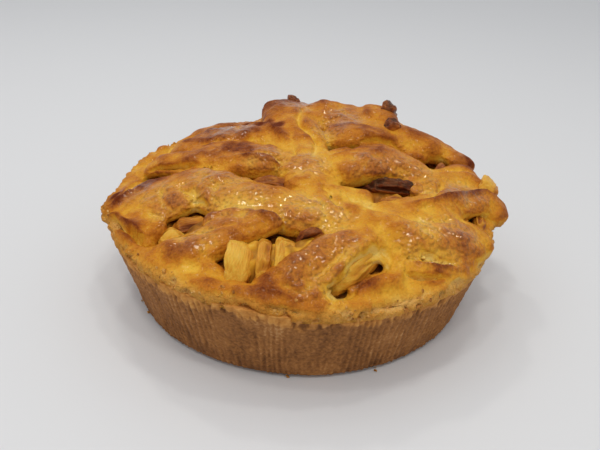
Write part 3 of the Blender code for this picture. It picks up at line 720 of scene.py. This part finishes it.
def join_dough(obj):
    """Runs the strips into one skin, with the slow swellings of the dough, and lays it on the filling.
    Returns the points of its hidden underside."""
    remesh = obj.modifiers.new("join", "REMESH")
    remesh.mode = "VOXEL"
    remesh.voxel_size = DOUGH_VOXEL
    apply_modifiers(obj)
    points, _, pairs = mesh_arrays(obj.data)
    move_points(obj.data, smoothed(points, pairs, 5))
    points, normals, pairs = mesh_arrays(obj.data)
    closed = np.ones(len(points))
    for x, y, radius in GAPS:
        closed *= smooth_step(mm_away(points, x, y), 0.75 * radius, 1.1 * radius)
    for rounds, share in WEBS:
        hollow = np.sum((smoothed(points, pairs, rounds) - points) * normals, axis=1)
        hollow = share * closed * np.maximum(hollow, 0) * smooth_step(normals[:, 2], -0.1, 0.3)
        points += normals * hollow[:, None]
        move_points(obj.data, points)
        points, normals, pairs = mesh_arrays(obj.data)
    swelling = LUMP_DEPTH * noise_at(points, LUMP_SIZE)
    reach = np.hypot(points[:, 0], points[:, 1])
    over = np.abs(points[:, 2] - case_edge(np.arctan2(points[:, 1], points[:, 0])) - RIM_LIFT)
    rim = smooth_step(reach, *RIM_ZONE) * (1 - smooth_step(over, *RIM_ZONE_HEIGHT))
    swelling += rim * (RIM_LUMP_DEPTH - LUMP_DEPTH) * noise_at(points, RIM_LUMP_SIZE)
    points += normals * swelling[:, None] / NOISE_GAIN
    reach = np.hypot(points[:, 0], points[:, 1])
    edge = case_edge(np.arctan2(points[:, 1], points[:, 0]))
    flush = wall_radius(edge) + RIM_OVERHANG * (points[:, 2] - edge) + WALL_OUTSET
    excess = np.maximum(0, reach - flush) * (1 - smooth_step(points[:, 2] - edge, *FLUSH_HEIGHT))
    excess *= smooth_step(np.hypot(points[:, 0] - LOBE_AT[0], points[:, 1] - LOBE_AT[1]), *LOBE_REACH)
    points[:, :2] *= (1 - RIM_PRESSED * excess / reach)[:, None]
    rest = bed(points[:, 0], points[:, 1]) + FIT_GAP
    hidden = points[:, 2] < rest + LIES_ON
    points[:, 2] = np.maximum(points[:, 2], rest)
    move_points(obj.data, points)
    return np.flatnonzero(hidden)


def thin_underside(obj, hidden):
    """Keeps few triangles where the dough lies on the filling."""
    group = obj.vertex_groups.new(name="underside")
    group.add(hidden.tolist(), 1.0, "REPLACE")
    triangles = obj.modifiers.new("triangles", "TRIANGULATE")
    triangles.quad_method = "SHORTEST_DIAGONAL"
    thin = obj.modifiers.new("thin", "DECIMATE")
    thin.vertex_group = "underside"
    share = len(hidden) / len(obj.data.vertices)
    thin.ratio = 1 - share * (1 - UNDERSIDE_KEPT)
    apply_modifiers(obj)
    obj.vertex_groups.clear()


def distance_to_path(points, path):
    """How far each (x, y) lies from a line of points."""
    best = np.full(len(points), np.inf)
    for a, b in zip(path, path[1:]):
        step = b - a
        t = np.clip((points - a) @ step / (step @ step), 0, 1)
        best = np.minimum(best, np.linalg.norm(points - a - t[:, None] * step, axis=1))
    return best


def fold_relief(points, normals):
    """The height that the named folds add to the top of the dough."""
    relief = np.zeros(len(points))
    facing = smooth_step(normals[:, 2], 0.0, 0.45)
    for width, height, line in FOLDS.values():
        path = smooth_path(line, 5) * MM
        near = np.all((points[:, :2] > path.min(0) - FOLD_REACH)
                      & (points[:, :2] < path.max(0) + FOLD_REACH), axis=1)
        waver = FOLD_WAVER * noise_at(points[near], FOLD_WAVER_SIZE)[:, None]
        away = distance_to_path(points[near, :2] + waver, path)
        ends = np.minimum(np.linalg.norm(points[near, :2] - path[0], axis=1),
                          np.linalg.norm(points[near, :2] - path[-1], axis=1))
        taper = smooth_step(ends, 0.0, FOLD_TAPER) * 0.8 + 0.2
        relief[near] += FOLD_SHARE * height * MM * np.exp(-(away / (width * MM)) ** 2) * taper
    return relief * facing


def dough_relief(points, normals):
    """Folds, wrinkles and grain on the baked dough, and the crumbly breaks of its rim.
    Returns the relief, and how much each point belongs to the broken rim."""
    facing = smooth_step(normals[:, 2], -0.2, 0.4)
    angle = np.arctan2(points[:, 1], points[:, 0])
    over = points[:, 2] - case_edge(angle)
    ragged = np.hypot(points[:, 0], points[:, 1]) + BREAK_WAVER * noise_at(points, BREAK_WAVER_SIZE, 33.0)
    rim = smooth_step(ragged, *BREAK_ZONE) * (1 - smooth_step(over, *BREAK_ZONE_HEIGHT))
    relief = fold_relief(points, normals)
    relief += SWELL_HEIGHT * noise_at(points, SWELL_SIZE, 4.0)
    bubbly = smooth_step(noise_at(points, 20 * MM, 19.0), -0.5, 0.4)
    relief += BUBBLE_HEIGHT * noise_at(points, BUBBLE_SIZE, 7.0) * (0.3 + 0.7 * bubbly)
    warped = points + 3 * MM * noise_at(points, 14 * MM, 30.0)[:, None]
    wrinkle = 1 - 2.2 * np.abs(noise_at(warped, WRINKLE_SIZE, 11.0))
    wrinkled = smooth_step(noise_at(points, 24 * MM, 17.0), -0.4, 0.5)
    relief += WRINKLE_HEIGHT * wrinkle * wrinkled * facing
    relief += DOUGH_GRAIN_HEIGHT * noise_at(points, DOUGH_GRAIN_SIZE, 6.0)
    crumb = sum(height * noise_at(points, size, 8.0) for size, height in zip(BREAK_SIZES, BREAK_HEIGHTS))
    pits = smooth_step(noise_at(points, PIT_SIZE, 40.0), 0.2, 0.45)
    relief += rim * (crumb - PIT_DEPTH * pits)
    return relief, rim


def baked_level(points, normals, pairs, rim):
    """How brown each point is, from 0, raw and pale, to 1, nearly burnt."""
    broad, close = (np.sum((points - smoothed(points, pairs, rounds)) * normals, axis=1) / MM
                    for rounds in BAKE_ROUNDS)
    high = (points[:, 2] - crown(points[:, 0], points[:, 1])) / MM
    level = 0.43 + 0.09 * np.clip(broad, -2.5, 2.2) + 0.08 * np.clip(close, -1.2, 1.2)
    level += 0.01 * np.clip(high, -8, 8)
    level += 0.10 * noise_at(points, 16 * MM, 50.0) + 0.06 * noise_at(points, 6 * MM, 51.0)
    patchy = noise_at(points, 7 * MM, 60.0)
    for x, y, radius, change in BAKED:
        ragged = mm_away(points, x, y) + 0.35 * radius * patchy
        patch = (1 - smooth_step(ragged, 0.1, 1.2 * radius)) * (points[:, 2] > TOP_FLOOR)
        level += BAKE_SHARE * change * patch
    level -= 0.5 * np.maximum(level - 0.72, 0)
    under = 1 - smooth_step(normals[:, 2], -0.25, 0.35)
    return np.minimum(level, 0.93) - 0.25 * under * (1 - rim) - 0.3 * rim


def egg_wash(points, normals, level, rim):
    """How thick the egg dried on each point, from 0 to 1. None lies on the rim or on what is nearly burnt."""
    wash = np.full(len(points), THIN_WASH)
    for x, y, radius in GLAZED:
        thinner = smooth_step(mm_away(points, x, y), 0.5 * radius, 1.2 * radius)
        wash = np.maximum(wash, 1 - (1 - THIN_WASH) * thinner)
    return wash * smooth_step(normals[:, 2], 0.0, 0.5) * (1 - rim) * (1 - smooth_step(level, 0.66, 0.9))


def lattice_material():
    """Baked dough under egg wash: pale cream to deep brown as it caught the heat, glossy where the
    egg dried on its top, dull and crumbly where it broke at the rim."""
    material, tree, shader = new_material("egg-washed baked shortcrust")
    place = add_node(tree, "ShaderNodeTexCoord").outputs["Object"]
    baked = add_node(tree, "ShaderNodeAttribute", attribute_name="baked").outputs["Fac"]
    wash = add_node(tree, "ShaderNodeAttribute", attribute_name="wash").outputs["Fac"]
    mottle = add_node(tree, "ShaderNodeTexNoise", {"Vector": place, "Scale": 1 / CRUST_MOTTLE, "Detail": 3.0})
    speck = add_node(tree, "ShaderNodeTexNoise", {"Vector": place, "Scale": 1 / CRUST_GRAIN, "Detail": 2.0})
    level = weighted_sum(tree, baked, [(mottle.outputs["Fac"], 0.16), (speck.outputs["Fac"], 0.22)])
    color = add_node(tree, "ShaderNodeValToRGB", {"Fac": level})
    set_ramp(color, [(0.2, "e9c66a"), (0.42, "dfac3a"), (0.58, "d2932a"), (0.74, "ba711f"),
                     (0.9, "904c1a"), (1.0, "62260f")])
    broken = add_node(tree, "ShaderNodeAttribute", attribute_name="broken").outputs["Fac"]
    dry = add_node(tree, "ShaderNodeValToRGB", {"Fac": level})
    set_ramp(dry, [(0.25, "e8b568"), (0.5, "d99a44"), (0.76, "be782c"), (1.0, "80481c")])
    shown = add_node(tree, "ShaderNodeMix", {"Factor": broken, 6: color.outputs["Color"],
                                             7: dry.outputs["Color"]}, data_type="RGBA")
    tree.links.new(shown.outputs[2], shader.inputs["Base Color"])
    smear = add_node(tree, "ShaderNodeTexNoise", {"Vector": place, "Scale": 1 / BRUSH_SMEAR, "Detail": 2.0})
    gloss = weighted_sum(tree, -0.2, [(smear.outputs["Fac"], 0.4), (wash, 1.0)])
    rough = add_node(tree, "ShaderNodeMapRange", {"Value": gloss, "From Min": 0.1, "From Max": 0.9,
                                                  "To Min": 0.7, "To Max": 0.4})
    tree.links.new(rough.outputs["Result"], shader.inputs["Roughness"])
    coat = add_node(tree, "ShaderNodeMapRange", {"Value": gloss, "From Min": 0.2, "From Max": 0.95,
                                                 "To Min": 0.04, "To Max": 1.0})
    tree.links.new(coat.outputs["Result"], shader.inputs["Coat Weight"])
    set_values(shader, {"Specular IOR Level": 0.12, "Specular Tint": hex_color("f2c170"),
                        "Coat Roughness": 0.09, "Coat IOR": 1.28,
                        "Subsurface Weight": 0.06, "Subsurface Scale": 2 * MM})
    bubble = add_node(tree, "ShaderNodeTexVoronoi", {"Vector": place, "Scale": 1 / EGG_BUBBLE},
                      feature="SMOOTH_F1")
    dome = add_node(tree, "ShaderNodeMapRange", {"Value": bubble.outputs["Distance"], "From Min": 0.0,
                                                 "From Max": 0.6, "To Min": 1.5, "To Max": 0.0})
    raised = add_node(tree, "ShaderNodeMath", {0: dome.outputs["Result"], 1: wash}, operation="MULTIPLY")
    crumbs = add_node(tree, "ShaderNodeTexNoise", {"Vector": place, "Scale": 1 / BREAK_GRAIN, "Detail": 4.0})
    crumbs = add_node(tree, "ShaderNodeMath", {0: crumbs.outputs["Fac"], 1: broken}, operation="MULTIPLY")
    height = weighted_sum(tree, raised.outputs[0], [(mottle.outputs["Fac"], 0.75),
                                                    (speck.outputs["Fac"], 0.4), (crumbs.outputs[0], 3.0)])
    bump = add_node(tree, "ShaderNodeBump", {"Height": height, "Strength": 0.8, "Distance": 1.5 * MM})
    tree.links.new(bump.outputs["Normal"], shader.inputs["Normal"])
    return material


crust = lattice_material()
dough = rails_object()
sweep = dough.modifiers.new("sweep", "NODES")
sweep.node_group = dough_tree()
set_inputs(sweep, {"Sides": STRIP_SIDES, "Fullness": STRIP_FULLNESS, "Material": crust})
thin_underside(dough, join_dough(dough))
points, normals, pairs = mesh_arrays(dough.data)
relief, rim_share = dough_relief(points, normals)
above = points[:, 2] - bed(points[:, 0], points[:, 1]) > RELIEF_OVER
move_points(dough.data, points + normals * (relief * above)[:, None])
points, normals, pairs = mesh_arrays(dough.data)
level = baked_level(points, normals, pairs, rim_share)
set_attribute(dough.data, "baked", level)
set_attribute(dough.data, "wash", egg_wash(points, normals, level, rim_share))
set_attribute(dough.data, "broken", rim_share)
dough.data.materials.clear()
dough.data.materials.append(crust)
dough.data.shade_smooth()
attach(dough, "root")
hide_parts("pastry_lattice")


# Apple pieces: slices and chunks of stewed apple that stand up in the gaps. Their flesh is pale
# and fibrous, golden where it dried, and dark red-brown to black where a tip caught the heat.
PIECE_RINGS = 60
PIECE_SIDES = 72
PIECE_SLANT = 0.3                # how steeply the cut face on top leans sideways
PIECE_CORNERS = 0.55             # below 1, the round section grows corners
PIECE_BEND = 0.16                # how far its ends sink, for each unit of its length
PIECE_BLUNT = 0.15               # share of its thickness that a piece keeps at its very end
PIECE_TAPER = 2.6                # the higher, the later it thins towards its ends
PIECE_WEDGE = 0.25               # how much thicker it is above than below
PIECE_END_THIN = 0.7
PIECE_END_DROP = 0.3
SKIN_TONE = 0.34                 # how much browner a pale piece is on its skin side
FIBRE_SIZE = 2.2                 # the ridges, dents and wrinkles of stewed flesh, in mm: wide, high
FIBRE_HEIGHT = 0.5
DENT_SIZE = 6.0
DENT_HEIGHT = 0.6
SHRIVEL_SIZE = 2.6
SHRIVEL_HEIGHT = 0.6
STRANDS = 1.3                    # strands of flesh to the mm
FLESH_BLOTCH = 3.333 * MM

# Each piece, in mm and degrees: x, y, depth of its top under the mound, length, upright size,
# thickness, heading, lean, and how toasted it is from 0 to 1.
APPLE_PIECES = {
    "apple_slice_front_left": (-25.5, -72, 1, 33, 12, 15, 88, 8, 0.18),
    "apple_slice_front_edge": (-15.2, -73, 0, 34, 13, 7, 88, 8, 0.34),
    "apple_slice_front_wide": (-6.0, -70, 2, 34, 14, 12, 88, 8, 0.28),
    "apple_slice_front_small": (4.4, -72, 3, 32, 12, 9, 88, 8, 0.2),
    "apple_wedge_dark": (4, -58, 1, 14, 6, 5, 28, 0, 0.68),
    "apple_slice_front_right": (27, -73, 4, 40, 16, 10, 50, 24, 0.22),
    "apple_slice_left": (-52, -40, 8, 28, 10, 9, 8, 0, 0.5),
    "apple_chunk_left": (-59, -53, 6, 16, 10, 11, 20, 0, 0.22),
    "apple_slice_middle": (-17, -12, 5, 32, 10, 8, 0, 10, 0.56),
    "apple_slice_burnt": (47, -10, 3, 36, 12, 8, 2, 20, 0.8),
    "apple_slice_under_burnt": (47, -22, 6, 28, 10, 9, 4, 0, 0.5),
    "apple_slice_right": (78, -26, 5, 18, 12, 8, 50, 0, 0.36),
    "apple_slice_right_end": (89, -21, 5, 15, 9, 7, 84, 0, 0.4),
    "apple_chunk_right_back": (99, 6, -5, 20, 13, 13, 70, 0, 0.22),
    "apple_tip_back": (-8, 86, -13.5, 13, 12, 9, 100, 0, 0.7),
    "apple_tip_back_right": (51, 74, -17, 14, 18, 11, 60, 0, 0.7),
    "apple_tip_right_back": (51, 52, -10, 12, 11, 9, 20, 0, 0.72),
    "apple_slice_right_back": (77, 24, 2, 22, 12, 8, 60, 0, 0.6),
}


def make_slice(node, sizes):
    """A bent, tapering wedge of apple, a little thicker above, with its skin on one side."""
    x, y, depth, length, tall, thick, heading, lean, toast = sizes
    u = np.linspace(-1, 1, PIECE_RINGS)[:, None]
    turn = 2 * math.pi * np.arange(PIECE_SIDES)[None, :] / PIECE_SIDES
    f = np.maximum(PIECE_BLUNT, np.sqrt(1 - np.abs(u) ** PIECE_TAPER))
    sink = PIECE_BEND * length * u * u + PIECE_END_DROP * tall * (1 - f)
    across = np.sign(np.cos(turn)) * np.abs(np.cos(turn)) ** PIECE_CORNERS
    upward = np.sign(np.sin(turn)) * np.abs(np.sin(turn)) ** PIECE_CORNERS
    t = 0.5 * thick * (1 - PIECE_WEDGE + PIECE_WEDGE * np.sin(turn)) * f * across
    h = 0.5 * tall * (1 - PIECE_END_THIN * (1 - f)) * upward - sink
    rings = np.stack(np.broadcast_arrays(0.5 * length * u, t, h + PIECE_SLANT * t), -1)
    flat = rings.reshape(-1, 3)
    seed = 7.3 * list(APPLE_PIECES).index(node)
    grain = flat * (0.1, 1, 1)
    fibre = 1 - 2.5 * np.abs(noise_at(grain, FIBRE_SIZE, seed))
    dent = noise_at(flat, DENT_SIZE, seed + 2)
    shrivel = noise_at(flat, SHRIVEL_SIZE, seed + 4) * smooth_step(toast, 0.5, 0.9)
    out = flat * (0, 1, 1)
    out /= np.linalg.norm(out, axis=1, keepdims=True) + 1e-6
    flat += out * (FIBRE_HEIGHT * fibre + DENT_HEIGHT * dent + SHRIVEL_HEIGHT * shrivel)[:, None]
    ends = [rings[0].mean(0), rings[-1].mean(0)]
    brow = np.broadcast_to(upward, rings.shape[:2]).ravel()
    shade = np.broadcast_to(np.maximum(0, -across), rings.shape[:2]).ravel()
    level = toast + (0.1 + 0.3 * toast * toast) * (brow - 0.5) - 0.3 * toast * toast * shade
    skin = np.broadcast_to(smooth_step(-across, 0.05, 0.8), rings.shape[:2]).ravel()
    level += 0.06 * dent - 0.1 * fibre + 0.1 * shrivel + SKIN_TONE * skin * (1 - toast)
    place_x, place_y = x * MM, y * MM
    slope = Vector((0, 0, 1)).rotation_difference(Vector(mound_normal(place_x, place_y))).to_matrix().to_4x4()
    turns = Matrix.Rotation(math.radians(heading), 4, "Z") @ Matrix.Rotation(math.radians(lean), 4, "X")
    place = Matrix.Translation((place_x, place_y, crown(place_x, place_y) - depth * MM))
    place = place @ slope @ turns @ Matrix.Translation((0, 0, -0.5 * tall * MM)) @ Matrix.Scale(MM, 4)
    obj = closed_mesh(node.replace("apple", "stewed"), rings, ends)
    obj.data.transform(place)
    obj.data.update()
    set_attribute(obj.data, "toast", np.append(level, (toast, toast)))
    strands = np.vstack([grain + seed, np.zeros((2, 3))]).ravel()
    obj.data.attributes.new("grain", "FLOAT_VECTOR", "POINT").data.foreach_set("vector", strands)
    return obj


def apple_material():
    """Stewed apple flesh: moist and a little see-through, cream to gold, brown to black where it
    caught the heat."""
    material, tree, shader = new_material("stewed apple flesh")
    place = add_node(tree, "ShaderNodeTexCoord").outputs["Object"]
    toast = add_node(tree, "ShaderNodeAttribute", attribute_name="toast").outputs["Fac"]
    blotch = add_node(tree, "ShaderNodeTexNoise", {"Vector": place, "Scale": 1 / FLESH_BLOTCH, "Detail": 4.0})
    grain = add_node(tree, "ShaderNodeAttribute", attribute_name="grain").outputs["Vector"]
    strands = add_node(tree, "ShaderNodeTexNoise", {"Vector": grain, "Scale": STRANDS, "Detail": 3.0})
    level = weighted_sum(tree, 0.18, [(toast, 1.0), (blotch.outputs["Fac"], 0.14),
                                      (strands.outputs["Fac"], -0.36)])
    color = add_node(tree, "ShaderNodeValToRGB", {"Fac": level})
    set_ramp(color, [(0.1, "e0b658"), (0.24, "dcac42"), (0.38, "d29630"), (0.56, "b87420"), (0.74, "8c481a"),
                     (0.88, "622a16"), (1.0, "35120c")])
    tree.links.new(color.outputs["Color"], shader.inputs["Base Color"])
    set_values(shader, {"Roughness": 0.34, "Specular IOR Level": 0.35, "Specular Tint": hex_color("f2c98a"),
                        "Subsurface Weight": 0.12, "Subsurface Scale": 2 * MM})
    height = weighted_sum(tree, blotch.outputs["Fac"], [(strands.outputs["Fac"], 1.4)])
    bump = add_node(tree, "ShaderNodeBump", {"Height": height, "Strength": 0.6, "Distance": 0.7 * MM})
    tree.links.new(bump.outputs["Normal"], shader.inputs["Normal"])
    return material


flesh = apple_material()
for node_name, piece_sizes in APPLE_PIECES.items():
    piece = make_slice(node_name, piece_sizes)
    piece.data.materials.append(flesh)
    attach(piece, "root")
    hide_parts(node_name)


# Crumbs: bits of the case and the lattice that broke off. They lie on the torn rim and round the
# foot of the pie, dry and matte, golden to dark brown.
RIM_CRUMBS = 45000.0             # crumbs to the square metre
FOOT_CRUMBS = 32000.0
FOOT_RING = (85.2 * MM, 87.5 * MM)
FOOT_RING_HEIGHT = 0.6 * MM      # half a crumb over the floor
FOOT_RING_SIDES = 120
CLUMP_SIZE = 15.0 * MM
CRUMB_ROUGH_SIZE = 2 / 3 * MM    # the knobs that make a round crumb ragged
CRUMB_ROUGH_HEIGHT = 1.4 * MM
CRUMB_TONE = 3.846 * MM


def crumb_tree():
    """Strews crumbs over a surface, closest where its share attribute is high."""
    tree, given = new_tree("strewn crumbs", {"Surface": "Geometry", "Density": "Float", "Smallest": "Float",
                                             "Largest": "Float", "Seed": "Int", "Material": "Material"},
                           "Crumbs")
    share = add_node(tree, "GeometryNodeInputNamedAttribute", {"Name": "crumbs"}, data_type="FLOAT")
    density = add_node(tree, "ShaderNodeMath", {0: share.outputs[0], 1: given["Density"]},
                       operation="MULTIPLY")
    points = add_node(tree, "GeometryNodeDistributePointsOnFaces",
                      {"Mesh": given["Surface"], "Density": density.outputs[0], "Seed": given["Seed"]},
                      distribute_method="RANDOM")
    crumb = add_node(tree, "GeometryNodeMeshIcoSphere", {"Radius": 1.0, "Subdivisions": 2})
    turn = add_node(tree, "FunctionNodeRandomValue", {"Max": (6.28, 6.28, 6.28), "Seed": given["Seed"]},
                    data_type="FLOAT_VECTOR")
    size = add_node(tree, "FunctionNodeRandomValue", {2: given["Smallest"], 3: given["Largest"]},
                    data_type="FLOAT")
    stretch = add_node(tree, "FunctionNodeRandomValue", {"Min": (0.6, 0.5, 0.4), "Max": (1.3, 1.0, 0.8)},
                       data_type="FLOAT_VECTOR")
    scale = add_node(tree, "ShaderNodeVectorMath", {0: stretch.outputs[0], "Scale": size.outputs[1]},
                     operation="SCALE")
    strewn = add_node(tree, "GeometryNodeInstanceOnPoints",
                      {"Points": points.outputs["Points"], "Instance": crumb.outputs["Mesh"],
                       "Rotation": turn.outputs[0], "Scale": scale.outputs[0]})
    real = add_node(tree, "GeometryNodeRealizeInstances", {"Geometry": strewn.outputs[0]})
    place = add_node(tree, "GeometryNodeInputPosition")
    rough = add_node(tree, "ShaderNodeTexNoise", {"Vector": place.outputs[0], "Scale": 1 / CRUMB_ROUGH_SIZE,
                                                  "Detail": 1.0})
    shift = add_node(tree, "ShaderNodeVectorMath", {0: rough.outputs["Color"], 1: (0.5, 0.5, 0.5)},
                     operation="SUBTRACT")
    shift = add_node(tree, "ShaderNodeVectorMath", {0: shift.outputs[0], "Scale": CRUMB_ROUGH_HEIGHT},
                     operation="SCALE")
    moved = add_node(tree, "GeometryNodeSetPosition",
                     {"Geometry": real.outputs[0], "Offset": shift.outputs[0]})
    finished = add_node(tree, "GeometryNodeSetMaterial",
                        {"Geometry": moved.outputs[0], "Material": given["Material"]})
    add_node(tree, "NodeGroupOutput", {"Crumbs": finished.outputs[0]})
    return tree


def crumb_material():
    """Crumbs of baked shortcrust: dry and matte, each a little browner or paler than the next."""
    material, tree, shader = new_material("shortcrust crumbs")
    place = add_node(tree, "ShaderNodeTexCoord").outputs["Object"]
    tone = add_node(tree, "ShaderNodeTexNoise", {"Vector": place, "Scale": 1 / CRUMB_TONE, "Detail": 2.0})
    color = add_node(tree, "ShaderNodeValToRGB", {"Fac": tone.outputs["Fac"]})
    set_ramp(color, [(0.3, "6e3e1c"), (0.45, "b47a38"), (0.6, "d8a458"), (0.75, "ecca92")])
    tree.links.new(color.outputs["Color"], shader.inputs["Base Color"])
    set_values(shader, {"Roughness": 0.9, "Specular IOR Level": 0.2})
    return material


def foot_ground():
    """A narrow ring just over the floor, which crumbs fell on."""
    out = spokes(FOOT_RING_SIDES)[1]
    verts = np.vstack([out * FOOT_RING[0], out * FOOT_RING[1]]) + (0, 0, FOOT_RING_HEIGHT)
    here = np.arange(FOOT_RING_SIDES)
    ahead = (here + 1) % FOOT_RING_SIDES
    faces = np.stack([here, ahead, ahead + FOOT_RING_SIDES, here + FOOT_RING_SIDES], -1)
    mesh = bpy.data.meshes.new("foot ground")
    mesh.from_pydata(verts.tolist(), [], faces.tolist())
    set_attribute(mesh, "crumbs", smooth_step(noise_at(verts, CLUMP_SIZE, 70.0), -0.1, 0.5))
    return mesh


def strew(name, ground, tree, values):
    """Turns the crumbs that the tree strews over a mesh into a piece of their own."""
    crumbs = new_object(name, ground)
    modifier = crumbs.modifiers.new("crumbs", "NODES")
    modifier.node_group = tree
    set_inputs(modifier, values)
    apply_modifiers(crumbs)
    crumbs.data.shade_smooth()
    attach(crumbs, "root")


rim_ground = dough.data.copy()
set_attribute(rim_ground, "crumbs", rim_share * (mesh_arrays(rim_ground)[1][:, 2] > 0.1))
sprinkle = crumb_tree()
crumb_finish = crumb_material()
strew("rim_crumbs", rim_ground, sprinkle,
      {"Density": RIM_CRUMBS, "Smallest": 0.3 * MM, "Largest": 1.0 * MM, "Seed": 3,
       "Material": crumb_finish})
strew("foot_crumbs", foot_ground(), sprinkle,
      {"Density": FOOT_CRUMBS, "Smallest": 0.3 * MM, "Largest": 0.9 * MM, "Seed": 5,
       "Material": crumb_finish})


# The stand-in for a studio: a pale floor, a soft sky, one broad light, and lamps in the ceiling,
# of which some are only there to shine in the egg wash. The camera is that of the photograph.
CAMERA_AT = Vector((0.0, -307.9, 194.8)) * MM
LOOKS_AT = Vector((-1.2, 57.8, 0.0)) * MM
CAMERA_ROLL = math.radians(2.1)
LENS_MM = 39.0
SENSOR_MM = 36.0
FLOOR_HALF = 3.0
LAMPS = [(-0.3, 0.5, 0.95), (-0.25, -0.2, 1.1), (0.2, -0.4, 1.0), (-0.05, -0.5, 0.95), (0.15, 0.1, 1.1)]
SMALL_LAMPS = [(-0.1, 0.3, 1.0), (0.35, 0.3, 0.9), (-0.45, 0.2, 0.9), (0.1, 0.7, 0.8), (0.6, 0.5, 0.75),
               (0.65, 0.1, 0.85)]


def make_floor():
    """A floor of pale, matte card."""
    mesh = bpy.data.meshes.new("floor")
    corners = [(x * FLOOR_HALF, y * FLOOR_HALF, 0) for x, y in ((-1, -1), (1, -1), (1, 1), (-1, 1))]
    mesh.from_pydata(corners, [], [(0, 1, 2, 3)])
    floor = new_object("floor", mesh)
    material, _, shader = new_material("pale card")
    set_values(shader, {"Base Color": hex_color("d8dadf"), "Roughness": 0.6})
    mesh.materials.append(material)


def add_light(name, place, size, power, color, only_glints=False):
    """A square light that faces the pie. It may show in the shiny egg wash alone."""
    data = bpy.data.lights.new(name, "AREA")
    data.size = size
    data.energy = power
    data.color = color
    light = new_object(name, data)
    light.location = place
    light.rotation_euler = Vector(place).to_track_quat("Z", "Y").to_euler()
    light.visible_diffuse = not only_glints


def add_camera():
    """The photograph's camera, as it was fitted to the pie's base and wall."""
    camera = new_object("camera", bpy.data.cameras.new("camera"))
    camera.data.lens = LENS_MM
    camera.data.sensor_width = SENSOR_MM
    camera.data.clip_start = 0.01
    turn = (LOOKS_AT - CAMERA_AT).to_track_quat("-Z", "Y").to_matrix().to_4x4()
    camera.matrix_world = Matrix.Translation(CAMERA_AT) @ turn @ Matrix.Rotation(CAMERA_ROLL, 4, "Z")
    bpy.context.scene.camera = camera


make_floor()
add_light("ceiling", (-0.5, 0.0, 1.0), 0.8, 1.2, (1.0, 0.98, 0.95))
for lamp_at in LAMPS:
    add_light("lamp", lamp_at, 0.09, 0.9, (1.0, 0.96, 0.88))
for lamp_at in SMALL_LAMPS:
    add_light("small lamp", lamp_at, 0.05, 0.5, (1.0, 0.92, 0.72), only_glints=True)
world = bpy.data.worlds.new("soft sky")
world.use_nodes = True
set_values(world.node_tree.nodes["Background"], {"Color": (0.99, 0.99, 0.98, 1.0), "Strength": 0.62})
bpy.context.scene.world = world
bpy.context.scene.view_settings.view_transform = "Standard"
add_camera()
